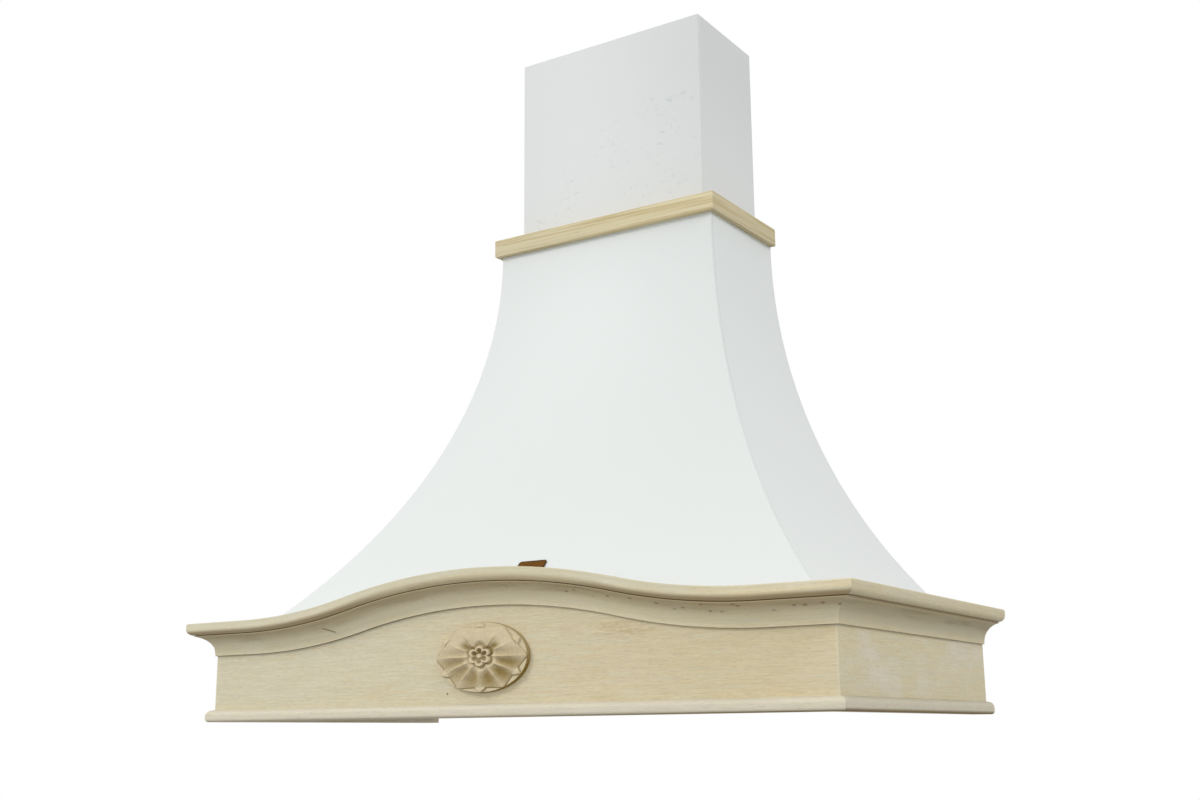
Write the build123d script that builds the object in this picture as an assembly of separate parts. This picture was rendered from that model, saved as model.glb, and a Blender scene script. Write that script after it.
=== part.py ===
"""Wooden range hood cover: a moulded wooden frame, a bell-shaped canopy and a flue that slides.

Millimetres. X runs to the right, the front faces -Y, the wall is the plane y = 0 and Z is up.
The origin is on the wall, in the middle of the back rail's lower edge. The pieces are drawn with
their heights taken from the frame's lower edge, which lies rail_lift below it.
"""

import os
from math import asin, atan2, cos, degrees, sin, sqrt

from build123d import *

# Frame of bare wood round the foot
frame_width = 900.0  # over the outer faces of the side boards
frame_depth = 446.0  # from the wall to the face of the front board
board_thick = 19.0

# Crown moulding on the frame, and the wave in its front length
crown_foot = 86.5  # lower edge of the moulding at the corners
crown_height = 42.3
crown_reach = 31.5  # how far it stands out from the boards
crown_lip = 2.8
crown_lip_height = 1.5
cove_top = 25.5  # top of the hollow above the moulding's lower edge
quirk_height = 1.5  # small step between the hollow and the round nose
nose_radius = 7.9
crown_edge_radius = 2.5
crown_stand = 3.3  # how far the moulding stands above the boards
wave_half = 374.0  # from the middle to where the front length runs level
wave_rise = 42.6

# Nosing bead along the lower edge
bead_height = 16.6
bead_reach = 10.0
bead_top_radius = 7.0
bead_low_radius = 4.0

# Carved oval rosette in the middle of the front board
rosette_length = 135.0
rosette_height = 82.0
rosette_middle = 69.0  # height of its middle above the lower edge
rosette_plate = 4.0
rosette_tip_level = 6.5
rosette_petal_level = 9.0
rosette_thick = 12.0
rosette_petals = 6
# the next five are taken up and down the oval, and stretch with it along its length
rosette_petal_reach = 38.0
rosette_petal_width = 34.0
rosette_tip_reach = 39.0
rosette_tip_width = 12.0
rosette_boss_height = 22.0

# Canopy: four hollow-curved sides, three of them skins, that narrow to the neck
neck_half = 175.3
neck_depth = 181.2
neck_z = 669.0  # where the curve ends upright, at the lower edge of the neck band
side_foot_gap = 0.3  # from the foot of a side skin to the board in front of it
front_foot_gap = 6.0
skin_thick = 6.0

# Neck band and the ring that it wraps
band_height = 26.0
band_thick = 8.0
band_chamfer = 1.2
ring_thick = 18.0

# Formers inside the canopy
rib_thick = 18.0
rib_width = 32.0
side_rib_y = 118.0  # from the wall to the middle of the side ribs
front_rib_x = 104.0
shelf_thick = 18.0
shelf_ledge = 12.0  # what the shelf shows inside the flue's panels
shelf_back = 24.0

# Flat deck that the canopy stands on
deck_top = 107.0
deck_thick = 18.0
deck_width = 70.0

# Corner blocks, ledgers, back rail and liner inside the frame
block_size = 50.0
ledger_size = 20.0
back_rail_thick = 18.0
rail_lift = 10.0  # the back rail's lower edge above the frame's lower edge
liner_z = 22.5  # underside of the liner above the lower edge
liner_thick = 1.5
liner_play = 1.0
liner_upstand = 12.0
insert_length = 520.0
insert_width = 280.0
insert_hole_margin = 14.0
insert_hole_radius = 2.0

# Hanging cleats
cleat_thick = 18.0
cleat_drop = 32.0  # from the shelf down to the top of the cleat on the canopy
cleat_height = 52.0  # of that cleat, at the wall
wall_cleat_height = 64.0
wall_cleat_half = 160.0
cleat_gap = 0.3
wall_hole_radius = 3.0
wall_hole_spacing = 240.0
wall_hole_rise = 30.0
back_hole_spacing = 600.0

# Flue
flue_half = 152.0
flue_depth = 160.0
flue_top = 978.0
flue_foot = 500.0
flue_thick = 12.0
flue_play = 1.0  # all round, in the ring
flue_wall_gap = 0.5
batten_size = 20.0
top_plate_thick = 15.0
duct_radius = 63.5
ceiling_hole_radius = 2.5
ceiling_hole_x = 105.0
ceiling_hole_y = 35.0  # to either side of the duct's middle

# Small blank plate on the front of the canopy
badge_length = 42.0
badge_height = 26.0
badge_thick = 1.2
badge_top = 191.0
badge_glue = 0.5

# Screws
head_radius = 4.0
head_height = 2.4
shank_radius = 2.0
thread_play = 0.15
driver_slot = 1.0
driver_length = 4.6
screw_bite = 13.0  # how deep a screw goes into the last piece that it holds
screw_clear = 3.0  # from a screw's head to what stands beside it

# Fits
glue_gap = 0.2
cutter_over = 5.0

# Sizes worked out from the ones above
half = frame_width / 2
inner_half = half - board_thick
inner_depth = frame_depth - board_thick
board_top = crown_foot + crown_height - crown_stand
wave_radius = (wave_half**2 + wave_rise**2) / (4 * wave_rise)
ring_top = neck_z + band_height
ring_low = ring_top - ring_thick
shelf_top = flue_foot
shelf_low = shelf_top - shelf_thick
cleat_top = shelf_low - cleat_drop
deck_low = deck_top - deck_thick
liner_top = liner_z + liner_thick
inside = skin_thick + glue_gap  # from the outer face of a skin to the formers
well_half = flue_half + flue_play
well_depth = flue_depth + flue_play
flue_inner_half = flue_half - flue_thick
flue_inner_depth = flue_depth - flue_thick
duct_y = -(flue_inner_depth + flue_wall_gap) / 2


def hollow_radius(start, foot):
    """Radius of a hollow side, upright at the neck, that runs out from start to foot at the deck."""
    run, drop = foot - start, neck_z - deck_top
    return (run**2 + drop**2) / (2 * run)


side_radius = hollow_radius(neck_half, inner_half - side_foot_gap)
front_radius = hollow_radius(neck_depth, inner_depth - front_foot_gap)


def reach(start, radius, inset, z):
    """Distance from the middle, or the wall, to a hollow side drawn in by inset, at height z."""
    drop = max(neck_z - z, 0)
    return start + radius - sqrt((radius + inset) ** 2 - drop**2)


def block(x0, x1, y0, y1, z0, z1):
    """Plain block between two corners."""
    middle = Pos((x0 + x1) / 2, (y0 + y1) / 2, (z0 + z1) / 2)
    return middle * Box(x1 - x0, y1 - y0, z1 - z0)


def other_side(piece):
    """The same piece on the left of the middle."""
    return mirror(piece, about=Plane.YZ)


def prism(points, z0, z1):
    """Upright prism on a plan."""
    return Pos(0, 0, z0) * extrude(Polygon(*points, align=None), amount=z1 - z0, dir=(0, 0, 1))


def front_wedge(corner_x, corner_y, outer):
    """All that lies between the mitre planes through the two front corners."""
    inner = min(corner_x, corner_y) - 1
    near = (corner_x - inner, -(corner_y - inner))
    far = (corner_x + outer, -(corner_y + outer))
    plan = [near, far, (-far[0], far[1]), (-near[0], near[1])]
    return prism(plan, -cutter_over, flue_top)


def side_wedge(corner_x, corner_y, outer):
    """All that lies to the right of the mitre plane through the right front corner."""
    inner = min(corner_x, corner_y) - 1
    near = (corner_x - inner, -(corner_y - inner))
    far = (corner_x + outer, -(corner_y + outer))
    plan = [near, far, (far[0], 0), (near[0], 0)]
    return prism(plan, -cutter_over, flue_top)


def wave_line(lift, end):
    """Rail line at a height: level, hollow bend, full bend over the middle, hollow bend, level."""
    y = -frame_depth
    turn = asin(wave_half / 2 / wave_radius) / 2
    mid_x = wave_half - wave_radius * sin(turn)
    mid_z = lift + wave_radius * (1 - cos(turn))
    level, waist, crest = lift, lift + wave_rise / 2, lift + wave_rise
    bend_x = wave_half / 2
    return [
        Line((-end, y, level), (-wave_half, y, level)),
        ThreePointArc((-wave_half, y, level), (-mid_x, y, mid_z), (-bend_x, y, waist)),
        ThreePointArc((-bend_x, y, waist), (0, y, crest), (bend_x, y, waist)),
        ThreePointArc((bend_x, y, waist), (mid_x, y, mid_z), (wave_half, y, level)),
        Line((wave_half, y, level), (end, y, level)),
    ]


def crown_section():
    """Section of the crown moulding: X out from the board, Y up from the moulding's lower edge."""
    cove_start = (crown_lip, crown_lip_height)
    cove_end = (crown_reach - nose_radius, cove_top)
    nose_start = (cove_end[0], cove_top + quirk_height)
    nose_end = (crown_reach, nose_start[1] + nose_radius)
    edge_start = (crown_reach, crown_height - crown_edge_radius)
    edge_end = (crown_reach - crown_edge_radius, crown_height)
    return make_face(
        [
            Line((0, 0), (crown_lip, 0)),
            Line((crown_lip, 0), cove_start),
            TangentArc(cove_start, cove_end, tangent=(0, 1)),
            Line(cove_end, nose_start),
            TangentArc(nose_start, nose_end, tangent=(1, 0)),
            Line(nose_end, edge_start),
            TangentArc(edge_start, edge_end, tangent=(0, 1)),
            Line(edge_end, (0, crown_height)),
            Line((0, crown_height), (0, 0)),
        ]
    )


def bead_section():
    """Section of the bead, rounded above and below: X out from the board, Y up."""
    low_start = (bead_reach - bead_low_radius, 0)
    low_end = (bead_reach, bead_low_radius)
    top_start = (bead_reach, bead_height - bead_top_radius)
    top_end = (bead_reach - bead_top_radius, bead_height)
    return make_face(
        [
            Line((0, 0), low_start),
            TangentArc(low_start, low_end, tangent=(1, 0)),
            Line(low_end, top_start),
            TangentArc(top_start, top_end, tangent=(0, 1)),
            Line(top_end, (0, bead_height)),
            Line((0, bead_height), (0, 0)),
        ]
    )


def front_length(section, z):
    """Straight length of a section along the whole front, mitred at both corners."""
    end = half + crown_reach + cutter_over
    start = Plane(origin=(-end, -frame_depth, z), x_dir=(0, -1, 0), z_dir=(-1, 0, 0))
    bar = extrude(start.location * section, amount=2 * end, dir=(1, 0, 0))
    return bar & front_wedge(half, frame_depth, crown_reach + cutter_over)


def side_length(section, z):
    """Length of a section along the right side, mitred in front and square at the wall."""
    start = Plane(origin=(half, 0, z), x_dir=(1, 0, 0), z_dir=(0, -1, 0))
    bar = extrude(start.location * section, amount=frame_depth + crown_reach + cutter_over)
    return bar & side_wedge(half, frame_depth, crown_reach + cutter_over)


def make_front_crown():
    """Crown moulding carried along the waved front rail."""
    end = half + crown_reach + cutter_over
    start = Plane(origin=(-end, -frame_depth, crown_foot), x_dir=(0, -1, 0), z_dir=(-1, 0, 0))
    path = Wire(wave_line(crown_foot, end))
    bar = sweep(start.location * crown_section(), path=path)
    return bar & front_wedge(half, frame_depth, crown_reach + cutter_over)


def make_front_board():
    """Front board, with a waved top edge and mitred ends."""
    y = -frame_depth
    outline = wave_line(board_top, half)
    outline.append(Line((half, y, board_top), (half, y, 0)))
    outline.append(Line((half, y, 0), (-half, y, 0)))
    outline.append(Line((-half, y, 0), (-half, y, board_top)))
    board = extrude(make_face(outline), amount=board_thick, dir=(0, 1, 0))
    return board & front_wedge(half, frame_depth, crown_reach)


def make_side_board():
    """Right side board, mitred in front."""
    board = block(inner_half, half, -frame_depth, 0, 0, board_top)
    return board & side_wedge(half, frame_depth, crown_reach)


def rosette_ring(reach_out, width, first_turn):
    """Ellipses that run from the middle out to reach_out, one for each petal, as one outline."""
    ring = Circle(rosette_boss_height / 2)
    for index in range(rosette_petals):
        turn = first_turn + 360 * index / rosette_petals
        ring += Rot(0, 0, turn) * Pos(reach_out / 2, 0) * Ellipse(reach_out / 2, width / 2)
    return ring


def make_rosette():
    """Oval plate with six petals, the small leaf tips between them, and a raised middle."""
    face = Plane(origin=(0, -frame_depth, rosette_middle), x_dir=(1, 0, 0), z_dir=(0, -1, 0))
    between = 180 / rosette_petals
    layers = [
        (Circle(rosette_height / 2), rosette_plate),
        (rosette_ring(rosette_tip_reach, rosette_tip_width, between), rosette_tip_level),
        (rosette_ring(rosette_petal_reach, rosette_petal_width, 0), rosette_petal_level),
        (Circle(rosette_boss_height / 2), rosette_thick),
    ]
    oval = (rosette_length / rosette_height, 1, 1)
    rosette = Part()
    for outline, level in layers:
        rosette += extrude(scale(outline, by=oval), amount=level)
    return face.location * rosette


def side_fill(inset, z0, z1):
    """Space between the two hollow sides, drawn in by inset, from the wall to past the front."""
    foot, neck = reach(neck_half, side_radius, inset, z0), neck_half - inset
    middle_z = (z0 + neck_z) / 2
    middle = reach(neck_half, side_radius, inset, middle_z)
    outline = [
        Line((-foot, z0), (foot, z0)),
        ThreePointArc((foot, z0), (middle, middle_z), (neck, neck_z)),
        Line((neck, neck_z), (neck, z1)),
        Line((neck, z1), (-neck, z1)),
        Line((-neck, z1), (-neck, neck_z)),
        ThreePointArc((-neck, neck_z), (-middle, middle_z), (-foot, z0)),
    ]
    return extrude(Plane.XZ.location * make_face(outline), amount=frame_depth)


def front_fill(inset, z0, z1):
    """Space between the wall and the hollow front, drawn in by inset, past both sides."""
    foot, neck = reach(neck_depth, front_radius, inset, z0), neck_depth - inset
    middle_z = (z0 + neck_z) / 2
    middle = reach(neck_depth, front_radius, inset, middle_z)
    outline = [
        Line((0, z0), (foot, z0)),
        ThreePointArc((foot, z0), (middle, middle_z), (neck, neck_z)),
        Line((neck, neck_z), (neck, z1)),
        Line((neck, z1), (0, z1)),
        Line((0, z1), (0, z0)),
    ]
    plane = Plane(origin=(-half, 0, 0), x_dir=(0, -1, 0), z_dir=(-1, 0, 0))
    return extrude(plane.location * make_face(outline), amount=-frame_width)


def canopy_fill(inset, z0, z1):
    """Space inside the canopy, drawn in by inset."""
    return side_fill(inset, z0, z1) & front_fill(inset, z0, z1)


def right_half(piece):
    """What a piece has on the right of the middle."""
    return piece & block(0, frame_width, -frame_width, cutter_over, -cutter_over, flue_top)


def make_skins():
    """Front skin, which covers the edges of the side skins, and the right side skin."""
    low, high = deck_top, ring_low
    over_low, over_high = low - cutter_over, high + cutter_over
    whole = canopy_fill(0, low, high)
    behind_front = front_fill(skin_thick, over_low, over_high)
    front = whole - behind_front
    sides = (whole & behind_front) - side_fill(skin_thick, over_low, over_high)
    return front, right_half(sides)


def flue_well():
    """Room that the flue needs inside the canopy."""
    return block(-well_half, well_half, -well_depth, cutter_over, shelf_top, flue_top)


def rib_slabs(grow):
    """Right-hand slabs that the ribs are cut from, made thicker by grow on each face."""
    thick = rib_thick / 2 + grow
    low, high = 0, ring_top
    wall_y = -(cleat_thick + rib_thick / 2)
    slabs = {
        "wall_rib": block(neck_half / 2, half, wall_y - thick, wall_y + thick, low, high),
        "side_rib": block(neck_half / 2, half, -side_rib_y - thick, -side_rib_y + thick, low, high),
        "front_rib": block(
            front_rib_x - thick,
            front_rib_x + thick,
            -frame_depth,
            -neck_depth / 2,
            low,
            high,
        ),
    }
    foot_x = reach(neck_half, side_radius, inside, deck_top)
    foot_y = reach(neck_depth, front_radius, inside, deck_top)
    run_x = foot_x - (neck_half - inside)
    run_y = foot_y - (neck_depth - inside)
    lean = degrees(atan2(run_y, run_x))
    start = Pos(neck_half - inside, -(neck_depth - inside), 0) * Rot(0, 0, -lean)
    back = rib_width * 2
    slabs["hip_rib"] = start * block(-back, half, -thick, thick, low, high)
    return slabs


def make_ribs():
    """Right-hand ribs: curved formers that the skins are bent over."""
    zone = canopy_fill(inside, deck_top, ring_low)
    zone -= canopy_fill(inside + rib_width, deck_top - cutter_over, ring_low + cutter_over)
    zone -= flue_well()
    return {name: zone & slab for name, slab in rib_slabs(0).items()}


def make_shelf():
    """Level former half way up, notched round the ribs, that the flue stands on."""
    shelf = canopy_fill(inside, deck_top, ring_low)
    shelf &= block(-half, half, -frame_depth, 0, shelf_low, shelf_top)
    hole_half = flue_inner_half - shelf_ledge
    hole_depth = flue_inner_depth - shelf_ledge
    shelf -= block(-hole_half, hole_half, -hole_depth, -shelf_back, shelf_low - 1, shelf_top + 1)
    zone = canopy_fill(0, deck_top, ring_low)
    zone -= canopy_fill(
        inside + rib_width + glue_gap, deck_top - cutter_over, ring_low + cutter_over
    )
    for slab in rib_slabs(glue_gap).values():
        notch = zone & slab
        shelf -= notch
        shelf -= other_side(notch)
    return shelf


def make_ring():
    """Ring at the neck, open at the wall, that guides the flue."""
    ring = block(-neck_half, neck_half, -neck_depth, 0, ring_low, ring_top)
    well = block(-well_half, well_half, -well_depth, 1, ring_low - 1, ring_top + 1)
    return ring - well


def make_band():
    """Front and right lengths of the neck band, with a small chamfer on the outer edges."""
    out_half, out_depth = neck_half + band_thick, neck_depth + band_thick
    outer = block(-out_half, out_half, -out_depth, 0, neck_z, ring_top)
    edges = [
        edge
        for face in (outer.faces().sort_by(Axis.Z)[0], outer.faces().sort_by(Axis.Z)[-1])
        for edge in face.edges()
        if edge.center().Y < -1
    ]
    outer = chamfer(edges, band_chamfer)
    outer -= block(-neck_half, neck_half, -neck_depth, 1, neck_z - 1, ring_top + 1)
    front = outer & front_wedge(neck_half, neck_depth, 2 * band_thick)
    side = outer & side_wedge(neck_half, neck_depth, 2 * band_thick)
    return front, side


def make_deck():
    """Front, right and back boards of the deck."""
    z0, z1 = deck_low, deck_top
    front_edge = -(inner_depth - deck_width)
    front = block(-inner_half, inner_half, -inner_depth, front_edge, z0, z1)
    side = block(inner_half - deck_width, inner_half, front_edge, -deck_width, z0, z1)
    back = block(-inner_half, inner_half, -deck_width, 0, z0, z1)
    return front, side, back


def make_frame_inside():
    """Right-hand corner blocks and ledger, back rail, front ledger and back ledger."""
    z0, z1 = liner_top, liner_top + ledger_size
    rail = block(-inner_half, inner_half, -back_rail_thick, 0, rail_lift, deck_low)
    back_y = -back_rail_thick
    blocks = {
        "front_block": block(
            inner_half - block_size,
            inner_half,
            -inner_depth,
            -inner_depth + block_size,
            liner_top,
            deck_low,
        ),
        "back_block": block(
            inner_half - block_size, inner_half, back_y - block_size, back_y, liner_top, deck_low
        ),
    }
    long = inner_half - block_size
    front = block(-long, long, -inner_depth, -inner_depth + ledger_size, z0, z1)
    back = block(-long, long, back_y - ledger_size, back_y, z0, z1)
    side = block(
        inner_half - ledger_size,
        inner_half,
        -inner_depth + block_size,
        back_y - block_size,
        z0,
        z1,
    )
    return blocks, rail, front, back, side


def make_liner():
    """Sheet liner with a cut-out for an insert, whose edge is turned up all round."""
    middle_y = -(inner_depth + back_rail_thick) / 2
    long, short = insert_length / 2, insert_width / 2
    out = inner_half - liner_play
    near, far = -(back_rail_thick + liner_play), -(inner_depth - liner_play)
    sheet = block(-out, out, far, near, liner_z, liner_top)
    collar = block(
        -long - liner_thick,
        long + liner_thick,
        middle_y - short - liner_thick,
        middle_y + short + liner_thick,
        liner_z,
        liner_top + liner_upstand,
    )
    cut = block(-long, long, middle_y - short, middle_y + short, 0, liner_top + deck_low)
    liner = sheet + collar - cut
    for x in (-1, 1):
        for y in (-1, 1):
            place = Pos(
                x * (long + insert_hole_margin), middle_y + y * (short + insert_hole_margin), liner_z
            )
            liner -= place * Cylinder(insert_hole_radius, 4 * liner_thick)
    return liner


def bevel_bar(x, low, high, low_front, high_front):
    """Bar along the wall whose lower and upper edges may rise from the wall to its front face."""
    outline = Polyline(
        (0, low), (0, high), (cleat_thick, high_front), (cleat_thick, low_front), close=True
    )
    plane = Plane(origin=(-x, 0, 0), x_dir=(0, -1, 0), z_dir=(-1, 0, 0))
    return extrude(plane.location * make_face(outline.edges()), amount=-2 * x)


def make_cleats():
    """Cleat on the canopy, hooked over the cleat on the wall along a slanted edge."""
    seat = cleat_top - cleat_height
    reach_x = reach(neck_half, side_radius, inside, cleat_top)
    hood = bevel_bar(reach_x, seat, cleat_top, seat + cleat_thick, cleat_top)
    top = seat - cleat_gap * sqrt(2)
    low = seat - wall_cleat_height
    wall = bevel_bar(wall_cleat_half, low, top, low, top + cleat_thick)
    hole_z = low + wall_cleat_height / 2
    for x in (-1, 1):
        for z in (-1, 1):
            place = Pos(x * wall_hole_spacing / 2, 0, hole_z + z * wall_hole_rise / 2)
            wall -= place * Rot(90, 0, 0) * Cylinder(wall_hole_radius, 4 * cleat_thick)
    return hood, wall


def make_flue():
    """Front panel, right side panel, right-hand battens and the plate at the top."""
    low, high = flue_foot, flue_top
    front = block(-flue_half, flue_half, -flue_depth, -flue_inner_depth, low, high)
    side = block(flue_inner_half, flue_half, -flue_inner_depth, -flue_wall_gap, low, high)
    x0, x1 = flue_inner_half - batten_size, flue_inner_half
    under = high - top_plate_thick
    y0 = -flue_inner_depth
    front_batten = block(x0, x1, y0, y0 + batten_size, low, under)
    back_batten = block(x0, x1, -flue_wall_gap - batten_size, -flue_wall_gap, low, under)
    plate = block(-x1, x1, y0, -flue_wall_gap, under, high)
    plate -= Pos(0, duct_y, under) * Cylinder(duct_radius, 4 * top_plate_thick)
    for x in (-1, 1):
        for y in (-1, 1):
            place = Pos(x * ceiling_hole_x, duct_y + y * ceiling_hole_y, under)
            plate -= place * Cylinder(ceiling_hole_radius, 4 * top_plate_thick)
    return front, side, front_batten, back_batten, plate


def make_badge():
    """Small blank plate laid against the hollow front of the canopy."""
    sag = front_radius - sqrt(front_radius**2 - (badge_height / 2) ** 2)
    high_turn = asin((neck_z - badge_top) / front_radius)
    turn = high_turn + badge_height / 2 / front_radius
    stand = front_radius - sag - badge_thick / 2 - badge_glue
    y = -(neck_depth + front_radius - stand * cos(turn))
    z = neck_z - stand * sin(turn)
    place = Pos(0, y, z) * Rot(-degrees(turn), 0, 0)
    plate = Box(badge_length, badge_thick, badge_height)
    return place * fillet(plate.edges().filter_by(Axis.Y), 3 * badge_thick)


def screw(seat, direction, length):
    """Pan-head screw whose head stands on the seat and whose shank runs along direction."""
    head = Pos(0, 0, -head_height / 2) * Cylinder(head_radius, head_height)
    shank = Pos(0, 0, length / 2) * Cylinder(shank_radius, length)
    top = Pos(0, 0, -head_height)
    cross = Box(driver_slot, driver_length, head_height) + Box(driver_length, driver_slot, head_height)
    return Plane(origin=seat, z_dir=direction).location * (head + shank - top * cross)


def screw_hole(seat, direction, length):
    """Hole that a screw fills, a little deeper and wider than its shank."""
    deep = length + 1
    hole = Pos(0, 0, deep / 2) * Cylinder(shank_radius + thread_play, deep)
    return Plane(origin=seat, z_dir=direction).location * hole


def head_sink(seat, direction):
    """Round recess that takes a screw's head below a surface."""
    deep = 2 * head_height
    sink = Pos(0, 0, -deep / 2) * Cylinder(head_radius + thread_play, deep)
    return Plane(origin=seat, z_dir=direction).location * sink


def both_sides(places):
    """Places on the right, and the same on the left."""
    mirrored = [((-x, y, z), (-i, j, k), size) for (x, y, z), (i, j, k), size in places]
    return places + mirrored


def drill(pieces, names, places):
    """Take every screw's hole out of the named pieces."""
    for name in names:
        for place in places:
            pieces[name] -= screw_hole(*place)


def add_pair(pieces, name, right):
    """Store a right-hand piece and its mirror image."""
    pieces[name + "_right"] = right
    pieces[name + "_left"] = other_side(right)


def fit_screws(pieces):
    """Screws of each kind, their holes in what they join, and one node for each kind."""
    mid_block = block_size / 2
    block_x = inner_half - mid_block
    front_y, back_y = -inner_depth + mid_block, -back_rail_thick - mid_block
    head_room = head_radius + screw_clear
    low_z, high_z = liner_top + ledger_size + head_room, deck_low - head_room
    inner_x = inner_half - block_size
    block_screw = block_size + screw_bite
    block_places = both_sides(
        [
            ((inner_x, front_y, low_z), (1, 0, 0), block_screw),
            ((block_x, -inner_depth + block_size, high_z), (0, -1, 0), block_screw),
            ((inner_x, back_y, low_z), (1, 0, 0), block_screw),
            ((block_x, back_y - mid_block, high_z), (0, 1, 0), block_screw),
        ]
    )
    joined = ["front_board", "side_board_left", "side_board_right", "back_rail"]
    joined += ["front_block_left", "front_block_right", "back_block_left", "back_block_right"]
    drill(pieces, joined, block_places)

    deck_screw = deck_thick + screw_bite
    behind_rib = -(cleat_thick + rib_thick + head_room)
    deck_places = both_sides(
        [((inner_x + head_room, y, deck_top), (0, 0, -1), deck_screw) for y in (front_y, behind_rib)]
    )
    blocks = [name for name in joined if "_block_" in name]
    drill(pieces, blocks + ["deck_front", "deck_back"], deck_places)

    middle_x, middle_y = inner_half - ledger_size / 2, -(inner_depth + back_rail_thick) / 2
    side_step = (inner_depth - 2 * block_size) / 4
    liner_screw = liner_thick + screw_bite
    side_places = [
        ((middle_x, middle_y + s * side_step, liner_z), (0, 0, 1), liner_screw) for s in (-1, 1)
    ]
    rows = (-inner_depth + ledger_size / 2, -back_rail_thick - ledger_size / 2)
    row_places = [((inner_half / 2, y, liner_z), (0, 0, 1), liner_screw) for y in rows]
    middle_places = [((0, y, liner_z), (0, 0, 1), liner_screw) for y in rows]
    liner_places = both_sides(side_places + row_places) + middle_places
    ledgers = ["ledger_front", "ledger_back", "ledger_left", "ledger_right"]
    drill(pieces, ledgers + ["liner"], liner_places)

    cleat_z = cleat_top - cleat_height / 4
    cleat_x = reach(neck_half, side_radius, inside, cleat_z) - rib_width / 2
    cleat_screw = cleat_thick - head_height + screw_bite
    cleat_places = both_sides([((cleat_x, -head_height, cleat_z), (0, -1, 0), cleat_screw)])
    drill(pieces, ["hood_cleat", "wall_rib_left", "wall_rib_right"], cleat_places)
    for seat, direction, _ in cleat_places:
        pieces["hood_cleat"] -= head_sink(seat, direction)

    batten_x = flue_inner_half - batten_size / 2
    batten_rows = (-flue_inner_depth + batten_size / 2, -flue_wall_gap - batten_size / 2)
    plate_seat = flue_top - head_height
    plate_screw = top_plate_thick - head_height + screw_bite
    plate_places = both_sides(
        [((batten_x, y, plate_seat), (0, 0, -1), plate_screw) for y in batten_rows]
    )
    battens = [name for name in pieces if name.startswith("flue_") and "batten" in name]
    drill(pieces, battens + ["flue_top_plate"], plate_places)
    for seat, direction, _ in plate_places:
        pieces["flue_top_plate"] -= head_sink(seat, direction)

    kinds = {
        "block_screws": block_places,
        "deck_screws": deck_places,
        "liner_screws": liner_places,
        "cleat_screws": cleat_places,
        "flue_plate_screws": plate_places,
    }
    for name, places in kinds.items():
        pieces[name] = Compound(children=[screw(*place) for place in places])


def make_pieces():
    """Every piece under its own name."""
    pieces = {
        "front_board": make_front_board(),
        "front_crown": make_front_crown(),
        "front_bead": front_length(bead_section(), 0),
        "rosette": make_rosette(),
        "neck_ring": make_ring(),
        "flue_shelf": make_shelf(),
        "liner": make_liner(),
        "badge": make_badge(),
    }
    add_pair(pieces, "side_board", make_side_board())
    add_pair(pieces, "side_crown", side_length(crown_section(), crown_foot))
    add_pair(pieces, "side_bead", side_length(bead_section(), 0))

    pieces["canopy_front"], side_skin = make_skins()
    add_pair(pieces, "canopy_side", side_skin)
    for name, rib in make_ribs().items():
        add_pair(pieces, name, rib)
    pieces["band_front"], side_band = make_band()
    add_pair(pieces, "band_side", side_band)

    pieces["deck_front"], side_deck, pieces["deck_back"] = make_deck()
    add_pair(pieces, "deck_side", side_deck)
    blocks, rail, front_ledger, back_ledger, side_ledger = make_frame_inside()
    for x in (-1, 1):
        place = Pos(x * back_hole_spacing / 2, 0, (liner_top + deck_low) / 2)
        rail -= place * Rot(90, 0, 0) * Cylinder(wall_hole_radius, 4 * back_rail_thick)
    pieces["back_rail"] = rail
    pieces["ledger_front"], pieces["ledger_back"] = front_ledger, back_ledger
    pieces["ledger_right"], pieces["ledger_left"] = side_ledger, other_side(side_ledger)
    for name, corner in blocks.items():
        add_pair(pieces, name, corner)
    pieces["hood_cleat"], pieces["wall_cleat"] = make_cleats()

    panel, side_panel, front_batten, back_batten, plate = make_flue()
    pieces["flue_front"], pieces["flue_top_plate"] = panel, plate
    add_pair(pieces, "flue_side", side_panel)
    add_pair(pieces, "flue_front_batten", front_batten)
    add_pair(pieces, "flue_back_batten", back_batten)
    fit_screws(pieces)
    return pieces


def brought_down(piece):
    """The piece, lowered until the back rail's lower edge is level with the origin."""
    solids = [Pos(0, 0, -rail_lift) * solid for solid in piece.solids()]
    return solids[0] if len(solids) == 1 else Compound(children=solids)


os.makedirs("parts", exist_ok=True)
for node, piece in make_pieces().items():
    export_step(brought_down(piece), f"parts/{node}.step")
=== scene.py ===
"""Dresses the wooden range hood cover: moulded frame, carved rosette, painted canopy and flue.

Metres. X runs to the right, the front faces -Y, the wall is the plane y = 0 and Z is up.
"""

from math import atan2, cos, pi, radians, sin, sqrt

import bpy
import numpy as np
from bpy.props import FloatProperty, FloatVectorProperty, IntProperty, PointerProperty
from mathutils import Matrix, Vector


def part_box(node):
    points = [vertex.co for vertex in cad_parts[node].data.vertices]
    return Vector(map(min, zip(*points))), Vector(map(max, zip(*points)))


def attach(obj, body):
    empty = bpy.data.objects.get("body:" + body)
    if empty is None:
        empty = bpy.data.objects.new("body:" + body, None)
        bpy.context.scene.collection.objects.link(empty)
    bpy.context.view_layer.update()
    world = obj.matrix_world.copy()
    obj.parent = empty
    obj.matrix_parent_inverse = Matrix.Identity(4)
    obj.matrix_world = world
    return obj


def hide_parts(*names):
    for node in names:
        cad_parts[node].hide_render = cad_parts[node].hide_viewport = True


bl_info = {
    "name": "Wooden range hood cover",
    "version": (1, 0, 0),
    "blender": (4, 5, 0),
    "location": "View3D > Sidebar > Hood cover",
    "description": "Builds the looks of a wooden range hood cover round its CAD frame",
    "category": "Add Mesh",
}

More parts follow.
